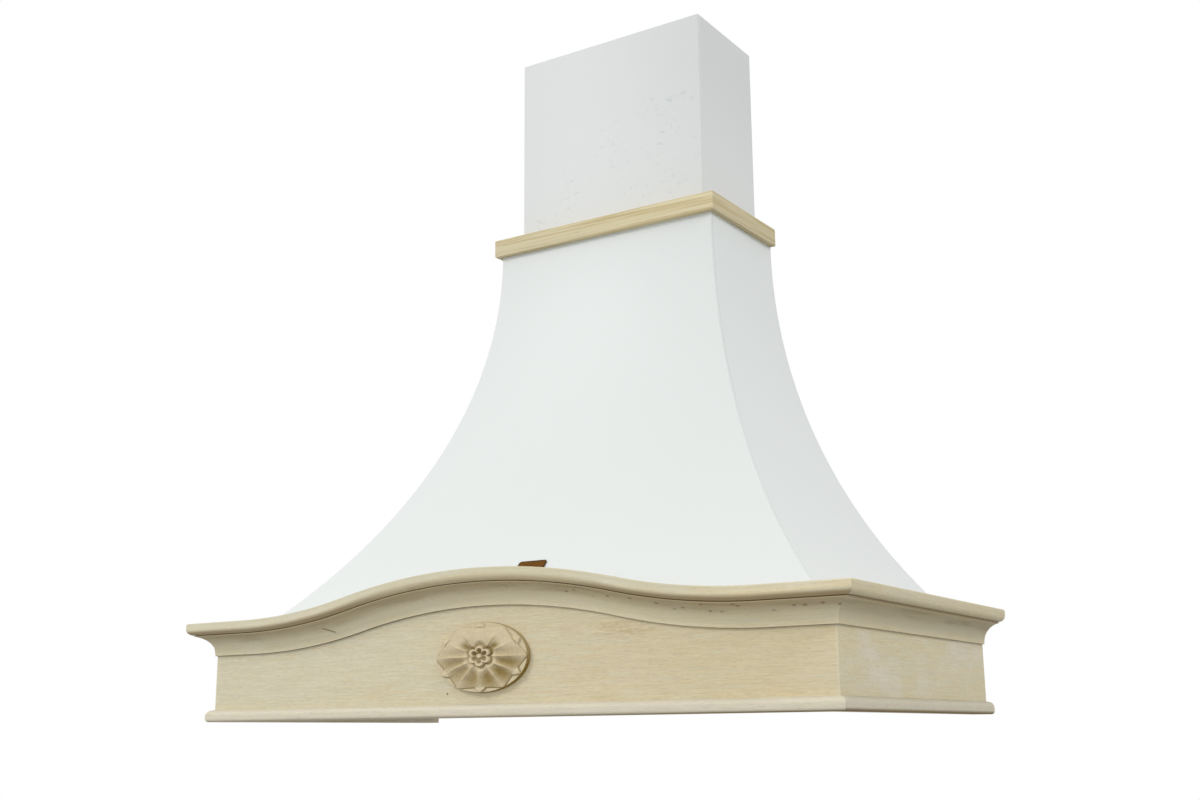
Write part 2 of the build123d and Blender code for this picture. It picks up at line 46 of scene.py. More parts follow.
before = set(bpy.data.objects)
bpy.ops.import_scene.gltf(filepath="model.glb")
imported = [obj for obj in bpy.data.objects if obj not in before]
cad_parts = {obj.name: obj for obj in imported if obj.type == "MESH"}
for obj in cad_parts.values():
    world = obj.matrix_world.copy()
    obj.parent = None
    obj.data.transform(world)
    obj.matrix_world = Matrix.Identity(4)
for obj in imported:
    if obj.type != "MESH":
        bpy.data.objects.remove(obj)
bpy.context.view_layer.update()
MM = 0.001
GRAIN_MAP = "grain"
SIDES = (("left", -1), ("right", 1))
WHITE = (1, 1, 1, 1)
PLY_LAYER = 0.0015
PINE_RING = 0.0018

# Marks, as x and z on the front board, or along the crown and round its profile
SPECK = (-0.054, 0.018)
SWIRL = (0.195, 0.084)
SWIRL_REACH = (0.060, 0.015)
SCRATCH = (-0.2425, 0.017)
SCRATCH_TURN = radians(-28)

# Places on the crown's map: where its front ends and its sides start, then ways up its profile
FRONT_END = (0.495, 0.498)
SIDE_START = 0.5
LIP_END = 0.0028
SPECK_ROW = 0.0195
HOLLOW_END = 0.0376
# Then where the brown painted shade under the nose starts and turns, the duller upper nose, and the
# painted shade on the top edge
NOSE_FOOT = (0.0395, 0.0405)
NOSE_TURN = 0.0495
NOSE_DULLING = (0.0510, 0.0600)
TOP_SHADE = (0.0590, 0.0630)

# Belts round the crown's profile, each as its two ends and how soft they are
GREY_BELT = (0.006, 0.0355, 0.004)
# The stain in the hollow's top, partly painted shade
STAIN_BELT = (0.020, 0.036, 0.005)
SPECK_BELT = (0.0200, 0.0340, 0.0010)
DOT_BELT = (0.018, 0.035, 0.004)
# Painted shade in the fine groove
GROOVE_SHADE_BELT = (0.0390, 0.0432, 0.0003)

# The rosette: places as shares of its oval, then heights in millimetres
FLOWER_WIDE, FLOWER_TALL, FLOWER_UP = 0.245, 0.293, 0.03
TIP_REACH = 0.985
PLATE = 5.6
CUP_FLOOR, RIM_RISE = 0.4, 4.2
RIDGE_RISE, RIDGE_FALL, KNUCKLE_RISE = 4.2, 2.4, 0.9
LOW_SCOOP, SHALLOWER = 4.0, 2.9
CORNER_CUT = 1.6
TIP_RISE, TIP_SPINE = 1.5, 1.2
TOOL_MARK = 0.16

# Distances from the cover over which the floor turns white
WHITENING = (1.6, 3.6)

# Sizes read from the frame
SIDE_LOW, SIDE_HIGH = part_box("side_board_right")
HALF = SIDE_HIGH.x
DEPTH = -SIDE_LOW.y
BOARD_THICK = HALF - SIDE_LOW.x
FOOT = SIDE_LOW.z
BOARD_RISE = SIDE_HIGH.z - FOOT
CROWN_LOW, CROWN_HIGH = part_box("side_crown_right")
CROWN_REACH = CROWN_HIGH.x - HALF
CROWN_FOOT = CROWN_LOW.z
CROWN_HEIGHT = CROWN_HIGH.z - CROWN_FOOT
WAVE_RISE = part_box("front_crown")[1].z - CROWN_HIGH.z
BEAD_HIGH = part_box("side_bead_right")[1]
BEAD_REACH = BEAD_HIGH.x - HALF
BEAD_RISE = BEAD_HIGH.z - FOOT
SKIN_LOW, SKIN_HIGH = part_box("canopy_side_right")
CANOPY_FOOT = SKIN_LOW.z
CANOPY_TOP = SKIN_HIGH.z
BAND_LOW, BAND_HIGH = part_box("band_side_right")
NECK_HALF = BAND_LOW.x
NECK_Z = BAND_LOW.z
NECK_DEPTH = -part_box("band_front")[1].y
BAND_THICK = BAND_HIGH.x - NECK_HALF
SKIN_HALF = SKIN_HIGH.x
SKIN_DEPTH = -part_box("canopy_front")[0].y
FLUE_DEPTH = -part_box("flue_front")[0].y


def tone(red, green, blue):
    """Linear colour of one written in the 0 to 255 steps of a paint chart."""
    steps = np.array([red, green, blue]) / 255
    linear = np.where(steps <= 0.04045, steps / 12.92, ((steps + 0.055) / 1.055) ** 2.4)
    return tuple(float(value) for value in linear)


def length_setting(name, description, default):
    """Length in metres that a user may change."""
    return FloatProperty(
        name=name, description=description, default=default, unit="LENGTH", precision=4
    )


def place_setting(name, description, default):
    """Place in metres that a user may change."""
    return FloatVectorProperty(
        name=name, description=description, default=default, subtype="XYZ", unit="LENGTH"
    )


def number_setting(name, description, default, unit="NONE"):
    """Plain number, power, turn or focal length that a user may change."""
    return FloatProperty(name=name, description=description, default=default, unit=unit)


def colour_setting(name, description, red, green, blue):
    """Colour that a user may change."""
    return FloatVectorProperty(
        name=name, description=description, default=tone(red, green, blue), subtype="COLOR",
        min=0, max=1,
    )


class HoodSizes(bpy.types.PropertyGroup):
    """Sizes of the mouldings, skins and carving."""

    wave_half: length_setting(
        "Wave half", "From the middle of the front to where its wave runs level", 374 * MM
    )
    lip: length_setting("Lip", "Width of the flat under the crown moulding", 2.8 * MM)
    lip_height: length_setting("Lip height", "Height of the step under the hollow", 1.5 * MM)
    cove_top: length_setting("Hollow top", "Height of the hollow's upper end", 25.5 * MM)
    quirk: length_setting("Quirk", "Small step between the hollow and the nose", 1.5 * MM)
    groove: length_setting("Groove", "Depth of the fine groove under the nose", 1.8 * MM)
    nose: length_setting("Nose radius", "Radius below the nose of the moulding", 7.9 * MM)
    nose_edge: length_setting("Nose edge", "Radius of the upper edge of the nose", 2.5 * MM)
    bead_top: length_setting("Bead top", "Radius of the upper edge of the bead", 7.0 * MM)
    bead_slope: length_setting("Bead slope", "How far the bead's top falls outwards", 1.4 * MM)
    bead_low: length_setting("Bead foot", "Radius of the lower edge of the bead", 4.0 * MM)
    arris: length_setting("Arris", "Radius of the sanded upright corners", 1.6 * MM)
    corner: length_setting("Corner", "Radius of the mouldings' worn outer corners", 5 * MM)
    edge: length_setting("Edge", "Radius of the other sanded edges", 0.6 * MM)
    skin: length_setting("Skin", "Thickness of the canopy's skins", 6 * MM)
    skin_arris: length_setting("Skin arris", "Radius of the painted corners", 1.2 * MM)
    band_edge: length_setting("Band edge", "Radius of the edges of the neck band", 1.3 * MM)
    petals: IntProperty(name="Petals", description="Petals of the rosette", default=6, min=3)
    petal_waist: FloatProperty(
        name="Petal waist", description="Where two petals part, as a share of the oval",
        default=0.85, subtype="FACTOR", min=0, max=1,
    )


class HoodColours(bpy.types.PropertyGroup):
    """Colours of the finishes."""

    wood_cream: colour_setting("Cream wood", "Pale growth of the frame's wood", 226, 219, 191)
    wood_straw: colour_setting("Straw wood", "Yellow growth of the frame's wood", 231, 216, 176)
    wood_pale: colour_setting("Pale wood", "Sanded patches of the wood", 234, 225, 205)
    wood_sanded: colour_setting("Sanded wood", "Sanded arrises", 238, 230, 206)
    wood_grey: colour_setting("Grey wood", "Greyed wood of the hollow", 216, 209, 180)
    # Darker, greyer tone laid on the upper part of the crown's nose towards its left end
    wood_dull: colour_setting("Dull wood", "Dusty top of the crown", 206, 204, 182)
    # Pores, and the painted shade under the crown's nose, in its hollow and groove, and along the
    # bead's foot
    wood_deep: colour_setting("Deep wood", "Cuts and dark edges", 136, 108, 60)
    wood_swirl: colour_setting("Swirl", "Brown swirl in the front board", 204, 176, 120)
    # Painted shade of the carving: its scoops, recesses, creases, cups and upright edge are
    # darkened towards this
    carve_deep: colour_setting("Carved hollows", "Wood in the carving's hollows", 137, 113, 42)
    # Real stains, specks and the scratch, and also painted shade under the crown's lip and an even
    # share of the hollow's upper stain
    wood_stain: colour_setting("Stain", "Stains in the hollow", 100, 80, 42)
    rosette_tan: colour_setting("Rosette tan", "Wood of the rosette", 222, 207, 173)
    ash_light: colour_setting("Light ash", "Early growth of the band's ash", 215, 204, 168)
    ash_dark: colour_setting("Dark ash", "Late growth of the band's ash", 190, 171, 124)
    paint: colour_setting("Paint", "White of the canopy", 227, 231, 229)
    # The canopy's white made darker for the flue: painted shade
    flue_paint: colour_setting("Flue paint", "White of the flue", 219, 222, 221)
    paint_mark: colour_setting("Paint marks", "Small marks in the flue's paint", 192, 199, 200)
    ply_light: colour_setting("Light ply", "Face and long grain of plywood", 206, 176, 130)
    ply_dark: colour_setting("Dark ply", "End grain of plywood", 156, 116, 72)
    pine_light: colour_setting("Light pine", "Early growth of softwood", 224, 192, 140)
    pine_dark: colour_setting("Dark pine", "Late growth of softwood", 190, 140, 84)
    steel: colour_setting("Steel", "Coated sheet of the liner", 176, 178, 178)
    zinc: colour_setting("Zinc", "Plated screws", 196, 194, 186)
    badge_brown: colour_setting("Badge brown", "Ground of the small plate", 108, 68, 4)
    badge_dark: colour_setting("Badge dark", "Dots and rim of the small plate", 58, 37, 4)
    floor: colour_setting("Floor", "Plain floor", 188, 188, 188)


class HoodStage(bpy.types.PropertyGroup):
    """Light, floor and camera."""

    floor_drop: length_setting("Floor drop", "From the cover's foot down to the floor", 1.0)
    floor_reach: length_setting("Floor reach", "Half the width of the floor", 12.0)
    key_power: number_setting("Key power", "Power of the soft box", 32, "POWER")
    key_size: length_setting("Lamp size", "Width of the soft box and of the lamp", 0.9)
    key_place: place_setting("Key place", "Place of the soft box", (-1.7, -2.4, 2.1))
    fill_power: number_setting("Fill power", "Power of the lamp on the right", 22, "POWER")
    fill_place: place_setting("Fill place", "Place of the lamp on the right", (2.6, -1.0, 2.0))
    sky_high: number_setting("Sky", "Light from overhead", 0.70)
    sky_level: number_setting("Sky level", "Light from around", 0.78)
    camera_place: place_setting("Camera place", "Place of the camera", (1.0514, -1.8135, -0.0312))
    camera_yaw: number_setting("Yaw", "Turn of the camera to the left", 0.5747, "ROTATION")
    camera_pitch: number_setting("Pitch", "Tilt of the camera upwards", 0.2282, "ROTATION")
    camera_roll: number_setting("Roll", "Roll of the camera", -0.0089, "ROTATION")
    camera_lens: number_setting("Lens", "Focal length on a 36 mm frame", 43.29, "CAMERA")


# Shapes, each worked out as whole arrays


def arc(centre, radius, start, end, steps):
    """Points centre + radius (cos a, sin a), while a turns evenly from start to end degrees."""
    turn = np.radians(np.linspace(start, end, steps))
    return np.stack([centre[0] + radius * np.cos(turn), centre[1] + radius * np.sin(turn)], 1)


def rounded(corners, radii, steps=4):
    """Closed outline whose corners C are cut by curves (1-s)^2 A + 2s(1-s) C + s^2 B.

    A and B lie on the two sides, one radius from the corner.
    """
    corners = np.array(corners, float)
    radii = np.broadcast_to(radii, len(corners))[:, None]
    before = np.roll(corners, 1, axis=0) - corners
    after = np.roll(corners, -1, axis=0) - corners
    start = corners + radii * before / np.linalg.norm(before, axis=1, keepdims=True)
    end = corners + radii * after / np.linalg.norm(after, axis=1, keepdims=True)
    s = np.linspace(0, 1, steps)[None, :, None]
    points = (1 - s) ** 2 * start[:, None] + 2 * s * (1 - s) * corners[:, None]
    return (points + s**2 * end[:, None]).reshape(-1, 2)


def crown_profile(sizes):
    """Crown moulding, (out, up): lip, hollow arc, quirk, fine groove, round nose and flat top.

    The hollow's radius follows from its run r and rise h: (r^2 + h^2) / 2r.
    """
    run = CROWN_REACH - sizes.nose - sizes.lip
    rise = sizes.cove_top - sizes.lip_height
    radius = (run**2 + rise**2) / (2 * run)
    turn = np.degrees(np.arctan2(rise, run - radius))
    quirk_top = sizes.cove_top + sizes.quirk
    nose_middle = (CROWN_REACH - sizes.nose, quirk_top + sizes.nose)
    edge_middle = (CROWN_REACH - sizes.nose_edge, CROWN_HEIGHT - sizes.nose_edge)
    lip_edge = (sizes.lip - sizes.edge / 2, sizes.edge / 2)
    root = CROWN_REACH - sizes.nose
    groove = [(root, -0.5), (root - sizes.groove, -0.4), (root - sizes.groove, 0.0)]
    groove = [(out, quirk_top + rise_share * sizes.quirk) for out, rise_share in groove]
    return np.concatenate(
        [
            [(0, 0)],
            arc(lip_edge, sizes.edge / 2, -90, 0, 4),
            arc((sizes.lip + radius, sizes.lip_height), radius, 180, turn, 18),
            groove,
            arc(nose_middle, sizes.nose, -90, 0, 12),
            arc(edge_middle, sizes.nose_edge, 0, 90, 7),
            [(0, CROWN_HEIGHT)],
        ]
    )


def bead_profile(sizes):
    """Bead, (out, up): flat back, small arc below and larger arc above."""
    low, top = sizes.bead_low, sizes.bead_top
    return np.concatenate(
        [
            [(0, 0)],
            arc((BEAD_REACH - low, low), low, -90, 0, 8),
            arc((BEAD_REACH - top, BEAD_RISE - sizes.bead_slope - top), top, 0, 90, 10),
            [(0, BEAD_RISE - sizes.bead_slope / 2)],
        ]
    )


def board_profile(sizes, thick, top):
    """Board, (out, up): a rectangle behind its outer face, with sanded edges."""
    return rounded([(-thick, 0), (0, 0), (0, top), (-thick, top)], sizes.edge)


def wave(x, half):
    """Height and slope of the waved rail at x.

    Two arcs of radius (half^2 + rise^2) / (4 rise): rise - r + sqrt(r^2 - x^2) over the middle,
    r - sqrt(r^2 - (half - |x|)^2) beside it, and level beyond half.
    """
    radius = (half**2 + WAVE_RISE**2) / (4 * WAVE_RISE)
    near = np.clip(np.abs(x), 0, half / 2)
    left_over = np.clip(half - np.abs(x), 0, half / 2)
    crest = np.sqrt(radius**2 - near**2)
    hollow = np.sqrt(radius**2 - left_over**2)
    in_middle = np.abs(x) < half / 2
    height = np.where(in_middle, WAVE_RISE - radius + crest, radius - hollow)
    slope = -np.sign(x) * np.where(in_middle, near / crest, left_over / hollow)
    return height, slope


def to_mitre(start, end, out, corner, steps):
    """Distance along a moulding up to its mitre, and how far its face sinks on the way.

    It runs straight from start to end + out - r, where r is out but no more than the corner's
    radius, and then round 45 degrees of an arc: on by r sin a, inwards by r (1 - cos a).
    """
    radius = np.clip(out, 0, corner)
    t = np.linspace(0, 1, steps)[:, None]
    turn = np.linspace(0, pi / 4, 6)[1:, None]
    straight = start + t * (end + out - radius - start)
    along = np.concatenate([straight, end + out - radius * (1 - np.sin(turn))])
    sink = np.concatenate([0 * straight, radius * (1 - np.cos(turn))])
    return along, sink


def run_of_wave(profile, foot, sizes):
    """Rings of a profile (out, up) carried along the waved rail, and the distance along it.

    At s on the rail: x = s - up sin a, y = -(DEPTH + out), z = foot + wave + up cos a, where a is
    the rail's slope there. Past the wave the rings run level to the mitre.
    """
    out, up = profile.T
    half = sizes.wave_half
    s = np.linspace(-half, half, 241)[:, None]
    height, slope = wave(s, half)
    turn = np.arctan(slope)
    y = -(DEPTH + out) + 0 * s
    bent = np.stack([s - up * np.sin(turn), y, foot + height + up * np.cos(turn)], 2)
    step = np.hypot(np.diff(s, axis=0), np.diff(height, axis=0))
    travel = np.concatenate([[[0]], np.cumsum(step, axis=0)])
    travel = travel - travel[-1] / 2
    x, sink = to_mitre(half, HALF, out, sizes.corner, 9)
    x, sink = x[1:], sink[1:]
    level = np.stack([x, -(DEPTH + out - sink), foot + up + 0 * x], 2)
    level_travel = travel[-1] + x - half
    rings = np.concatenate([level[::-1] * (-1, 1, 1), bent, level])
    along = np.concatenate([-level_travel[::-1], travel + 0 * out, level_travel])
    return rings, along


def run_across(profile, foot, half, depth, corner=0.0):
    """Rings along the front, from mitre to mitre."""
    out, up = profile.T
    x, sink = to_mitre(0.0, half, out, corner, 13)
    right = np.stack([x, -(depth + out - sink), foot + up + 0 * x], 2)
    return np.concatenate([right[:0:-1] * (-1, 1, 1), right])


def run_back(profile, foot, half, depth, side, corner=0.0):
    """Rings along one side, from the wall to the mitre, and the distance along it."""
    out, up = profile.T
    y, sink = to_mitre(0.0, depth, out, corner, 13)
    rings = np.stack([side * (half + out - sink), -y, foot + up + 0 * y], 2)
    return rings, side * (SIDE_START + y)


def sanded_run(t, out, end, ease):
    """Place along a board and how far its face sinks towards the sanded arris at its end.

    The place is t (end + out). Within ease of the end, the face sinks by
    ease - sqrt(ease^2 - past^2), where past is the distance into the rounding, up to the mitre.
    """
    bite = ease * (1 - sqrt(0.5))
    face = out > -ease
    place = np.clip(t * (end + out), -(end + out - bite * face), end + out - bite * face)
    past = np.clip(np.abs(place) - (end - ease), 0, ease * sqrt(0.5))
    return place, face * (ease - np.sqrt(ease**2 - past**2))


def arris_steps(end, ease, both):
    """Values of t along a board: even over its length and close together at the arris."""
    middle = np.linspace(-1 if both else 0, 1, 121 if both else 13) * (1 - ease / end)
    close = 1 - ease * (1 - np.sin(np.linspace(0, pi / 4, 6)[1:])) / end
    return np.concatenate([-close[::-1], middle, close] if both else [middle, close])[:, None]


def front_board_rings(sizes):
    """Front board: its height grows by the wave, z = foot + up (1 + wave / rise)."""
    out, up = board_profile(sizes, BOARD_THICK, BOARD_RISE).T
    x, sink = sanded_run(arris_steps(HALF, sizes.arris, True), out, HALF, sizes.arris)
    height, _ = wave(x, sizes.wave_half)
    z = FOOT + up * (1 + height / BOARD_RISE)
    return np.stack([x, -(DEPTH + out - sink), z], 2)


def side_board_rings(sizes, side):
    """Side board, from the wall to the mitre."""
    out, up = board_profile(sizes, BOARD_THICK, BOARD_RISE).T
    y, sink = sanded_run(arris_steps(DEPTH, sizes.arris, False), out, DEPTH, sizes.arris)
    return np.stack([side * (HALF + out - sink), -y, FOOT + up + 0 * y], 2)


def hollow_side(start, foot, inset, z):
    """Distance out to a hollow side drawn in by inset: start + r - sqrt((r + inset)^2 - drop^2).

    The side stands upright at the neck and meets foot at the canopy's lower edge, which gives its
    radius r = (run^2 + drop^2) / (2 run).
    """
    run, full_drop = foot - start, NECK_Z - CANOPY_FOOT
    radius = (run**2 + full_drop**2) / (2 * run)
    drop = np.clip(NECK_Z - z, 0, None)
    return start + radius - np.sqrt((radius + inset) ** 2 - drop**2)


def upright_rings(x0, x1, y0, y1, z, ease):
    """Rings of a rectangle with rounded corners whose sides x0, x1, y0, y1 follow the height z.

    Each corner moves in by ease and carries a quarter turn of that radius.
    """
    at_x, at_y = np.repeat([(0, 0), (1, 0), (1, 1), (0, 1)], 5, axis=0).T
    turn = np.radians(np.array([180, 270, 0, 90])[:, None] + np.linspace(0, 90, 5)).ravel()
    x0, x1, y0, y1 = (np.broadcast_to(side, z.shape)[:, None] for side in (x0, x1, y0, y1))
    x = x0 * (1 - at_x) + x1 * at_x + ease * (np.cos(turn) + 1 - 2 * at_x)
    y = y0 * (1 - at_y) + y1 * at_y + ease * (np.sin(turn) + 1 - 2 * at_y)
    return np.stack([x, y, z[:, None] + 0 * x], 2)


def canopy_levels(inset):
    """Heights of the canopy's rings, and how far out its hollow side and front are there."""
    z = np.linspace(CANOPY_FOOT, CANOPY_TOP, 97)
    across = hollow_side(NECK_HALF, SKIN_HALF, inset, z)
    return z, across, hollow_side(NECK_DEPTH, SKIN_DEPTH, inset, z)


def front_skin_rings(sizes):
    """Front skin: between the two hollow sides, from the hollow front to its inner face."""
    z, x, outer = canopy_levels(0)
    _, _, inner = canopy_levels(sizes.skin)
    return upright_rings(-x, x, -outer, -inner, z, sizes.skin_arris)


def side_skin_rings(sizes, side):
    """Side skin: from the wall to the inner face of the front skin."""
    z, outer, _ = canopy_levels(0)
    _, inner, depth = canopy_levels(sizes.skin)
    rings = upright_rings(inner, outer, -depth, 0 * z, z, sizes.edge / 4)
    return rings * (side, 1, 1)


def bump(value, middle, width):
    """Smooth hill exp(-((value - middle) / width)^2)."""
    return np.exp(-(((value - middle) / width) ** 2))


def ramp(value, low, high):
    """Smooth step from 0 at low to 1 at high: s^2 (3 - 2s)."""
    s = np.clip((value - low) / (high - low), 0, 1)
    return s * s * (3 - 2 * s)


def rosette_flower(p, q, petals):
    """Height in millimetres of the flower at p, q, how much painted shade it takes, and the way
    past its edge.

    For n lobes, at t round its middle, the edge is 0.64 + 0.36 |cos(n (t - 90) / 2)|^0.6 away. A
    thin rim stands along the edge and on the borders of the lobes, with a button in the middle.
    The cups take painted shade, darker in the upper lobes.
    """
    reach, turn = np.hypot(p, q), np.arctan2(q, p)
    lobe = np.abs(np.cos(petals * (turn - pi / 2) / 2))
    edge = 0.64 + 0.36 * lobe**0.6
    border = bump(lobe, 0, 0.38) * ramp(reach, 0.25, 0.40)
    rim = np.maximum(ramp(reach - edge, -0.34, -0.22), border)
    button = 1 - ramp(reach, 0.18, 0.28)
    cup = 1 - np.maximum(rim, button)
    dark = 0.8 * cup * (0.45 + 0.55 * ramp(q, -0.30, 0.30))
    return PLATE + CUP_FLOOR + RIM_RISE * np.maximum(rim, button), dark, reach - edge


def rosette_field(rho, theta, sizes):
    """Height in millimetres of the carving at rho, theta on the oval, and how much painted shade it
    takes.

    With n petals, ridges run out at every multiple of 180/n degrees, with scoops |sin(n theta)|
    deep between them, deeper in the lower half. All rise out of a recess round the flower. With g
    falling evenly from 1 on the middle of a petal to 0 between two, and s = g^2.2, a petal reaches
    waist + (1 - waist) (s - 2 max(s - 0.75, 0)^2), and a leaf tip lies in each gap. Painted shade
    lies in the scoops, most in the lower half and least on the left, in the recess above the
    flower, in its upper corners and cups, and in dark lines at the steps down, where petals part,
    beside the leaf tips and under the flower.
    """
    n = sizes.petals
    rise = rho * np.sin(theta)
    upper = ramp(rise, -0.20, 0.40)
    g = np.abs(((n * theta / pi) % 2) - 1)
    flute = np.abs(np.sin(n * theta)) ** 0.8
    flower, dark, past = rosette_flower(
        rho * np.cos(theta) / FLOWER_WIDE, (rise - FLOWER_UP) / FLOWER_TALL, n
    )
    share = g**2.2 - 2.0 * np.clip(g**2.2 - 0.75, 0, None) ** 2
    outline = sizes.petal_waist + (1.0 - sizes.petal_waist) * share
    corner = ramp(rise, 0.0, 0.15) * flute * np.abs(np.sin(2 * theta)) ** 3 * bump(rho, 0.43, 0.12)
    knuckle = (1 - upper) * (1 - flute) * (1 - ramp(g, 0.2, 0.5)) * bump(past, 0.60, 0.35)
    ridge = PLATE + RIDGE_RISE * ramp(past, 0.05, 0.60) - RIDGE_FALL * ramp(rho, 0.54, 1.0)
    ridge = ridge + KNUCKLE_RISE * knuckle
    depth = ramp(past, 0.20, 0.70) * (1 - 0.68 * ramp(rho, 0.58, 0.9))
    leaf = ridge - (LOW_SCOOP - SHALLOWER * upper) * flute * depth - CORNER_CUT * corner
    tip_width = 0.32 * np.clip((TIP_REACH - rho) / 0.15, 0, 1) ** 0.7
    on_tip = ramp(tip_width - g, 0.0, 0.03) * ramp(rho, 0.7, 0.72)
    tip = on_tip * (TIP_RISE + TIP_SPINE * (1 - np.clip(g / 0.3, 0, 1)))
    plate = PLATE + tip * (rho < 0.99)
    on_petal = ramp(outline - rho, -0.004, 0.008)
    height = plate + on_petal * (np.maximum(leaf, plate) - plate)
    carve = TOOL_MARK * np.sin(5 * theta + 14 * rho) * np.sin(17 * rho + 3 * theta)
    height = height + carve * ramp(rho, 0.35, 0.5) * on_petal
    covers = ramp(-past, -0.03, 0.03)
    height = height + covers * (flower - height)
    # Painted shade in the scoops, strongest past the crest and in the lower half, lighter on the
    # left, and along the middles of the upper petals
    shade = flute + 0.30 * (1 - flute) * ramp(rho, 0.45, 0.65)
    shade = shade * ramp(past, 0.25, 1.0) * (1 - 0.45 * ramp(rho, 0.66, 0.97))
    border = upper * ramp(g, 0.84, 0.97) * ramp(past, 0.1, 0.3) * (1 - ramp(rho, 0.5, 0.75))
    leftwards = ramp(-np.cos(theta), 0.3, 0.9)
    darkening = (0.80 - 0.76 * upper) * (1 - 0.15 * np.sin(2 * theta) * (rise < 0) - 0.16 * leftwards)
    hollow = darkening * shade * on_petal + 0.45 * border
    # Painted shade in the recess round the flower, mostly above it
    beside = 0.45 + 0.55 * ramp(np.abs(np.cos(theta)), 0.15, 0.45)
    recess = (1 - ramp(past, 0.08, 0.55)) * (0.12 + 0.75 * ramp(rise, -0.05, 0.12) * beside)
    step = 0.9 * bump(rho, outline + 0.012, 0.013) * (1 - on_tip) * (1 - 0.7 * upper)
    parting = 0.7 * upper * bump(rho, 0.845, 0.014) * ramp(0.30 - g, 0.0, 0.1)
    on_plate = ramp(rho, 0.72, 0.80) * (rho < 0.97)
    under_tip = 0.7 * (1 - upper) * bump(g, tip_width, 0.035) * on_plate
    undercut = 0.85 * bump(past, 0.07, 0.06) * ramp(0.05 - rise, 0.0, 0.12)
    # Painted shade in the upper corners, in lines at the steps down and where petals part, beside
    # the leaf tips and under the flower's lower edge
    for mark in (recess, 0.85 * corner, step, parting, under_tip, undercut):
        hollow = np.maximum(hollow, mark)
    return height, hollow + covers * (dark - hollow)


def rosette_rings(sizes):
    """Rosette: rings from the foot of its upright edge, over the carving, to its middle.

    At rho, theta: x = long rho cos(theta), z = middle + short rho sin(theta).
    """
    low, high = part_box("rosette")
    long, short = (high.x - low.x) / 2, (high.z - low.z) / 2
    theta = np.linspace(0, 2 * pi, 433)[:-1][None, :]
    rows = ((0.98, 0.9, 19), (0.9, 0.34, 75), (0.34, 0.004, 69))
    top = np.concatenate([np.linspace(*row, endpoint=False) for row in rows] + [[0.004]])[:, None]
    height, hollow = rosette_field(top + 0 * theta, theta + 0 * top, sizes)
    height = np.clip(height * MM, 0, high.y - low.y)
    edge = np.array([[1.0, 0.0], [0.998, 2.5 * MM], [0.985, 5.0 * MM]])
    rho = np.concatenate([edge[:, :1], top])
    height = np.concatenate([edge[:, 1:] + 0 * theta, height])
    # Painted shade on the upright edge, darkest at the bottom and lightest at the top
    wall = 0.97 - 0.45 * ramp(np.sin(theta), -0.4, 0.5)
    hollow = np.concatenate([np.repeat(wall, len(edge), axis=0), hollow])
    x = long * rho * np.cos(theta)
    z = (low.z + high.z) / 2 + short * rho * np.sin(theta)
    return np.stack([x, high.y - height, z], 2), hollow


# Meshes and pieces


def signed_volume(points, faces):
    """Six times the volume inside quads and fans: the sum of a . (b x c) over their triangles."""
    a = points[faces[:, :1]]
    b, c = points[faces[:, 1:-1]], points[faces[:, 2:]]
    return float((a * np.cross(b, c)).sum())


def shell(name, rings, along=None, marks=None):
    """Closed mesh through rings of points, with a flat face over the first and the last ring.

    Its faces are turned outwards, so that the volume they enclose counts as positive. With along,
    a UV map holds the distance along the piece and round its middle ring. Marks are kept as a
    point attribute.
    """
    count, round_count = rings.shape[:2]
    index = np.arange(count * round_count).reshape(count, round_count)
    after = np.roll(index, -1, axis=1)
    quads = np.stack([index[:-1], after[:-1], after[1:], index[1:]], 2).reshape(-1, 4)
    caps = np.stack([index[0, ::-1], index[-1]])
    points = rings.reshape(-1, 3)
    if signed_volume(points, quads) + signed_volume(points, caps) < 0:
        quads, caps = quads[:, ::-1], caps[:, ::-1]
    mesh = bpy.data.meshes.new(name)
    mesh.from_pydata(points, [], quads.tolist() + caps.tolist())
    if along is not None:
        step = np.linalg.norm(np.diff(rings[count // 2], axis=0), axis=1)
        around = np.concatenate([[0], np.cumsum(step)]) + 0 * along
        flat = np.stack([along.ravel(), around.ravel()], 1)
        corners = np.concatenate([quads.ravel(), caps.ravel()])
        mesh.uv_layers.new(name=GRAIN_MAP).data.foreach_set("uv", flat[corners].ravel())
    if marks is not None:
        mesh.attributes.new("hollow", "FLOAT", "POINT").data.foreach_set("value", marks.ravel())
    mesh.polygons.foreach_set("use_smooth", np.ones(len(mesh.polygons), bool))
    mesh.set_sharp_from_angle(angle=radians(32))
    mesh.validate()
    return mesh


def put(name, data):
    """New object in the scene."""
    made = bpy.data.objects.new(name, data)
    bpy.context.scene.collection.objects.link(made)
    return made


def add_piece(name, rings, finish, slot, node, body="hood", **extras):
    """Show a shell through rings in place of a CAD node, riding on a body."""
    mesh = shell(name + "_mesh", rings, **extras)
    mesh.materials.append(finish)
    piece = put(name, mesh)
    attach(piece, body)
    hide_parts(node)


def coat(nodes, finish):
    """Give CAD nodes that keep their own shape a finish."""
    for name in nodes:
        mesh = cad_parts[name].data
        mesh.materials.clear()
        mesh.materials.append(finish)


# Finishes


def operator_pair(operation):
    """An operator and its reflected form, each of which adds one Math node."""

    def forward(self, other):
        return self.graph.maths(operation, self, other)

    def reflected(self, other):
        return self.graph.maths(operation, other, self)

    return forward, reflected


class Socket:
    """One value in a finish, which takes part in sums written in Python."""

    __add__, __radd__ = operator_pair("ADD")
    __sub__, __rsub__ = operator_pair("SUBTRACT")
    __mul__, __rmul__ = operator_pair("MULTIPLY")
    __truediv__, __rtruediv__ = operator_pair("DIVIDE")

    def __init__(self, graph, link):
        self.graph, self.link = graph, link

    def __abs__(self):
        return self.graph.maths("ABSOLUTE", self, 0)


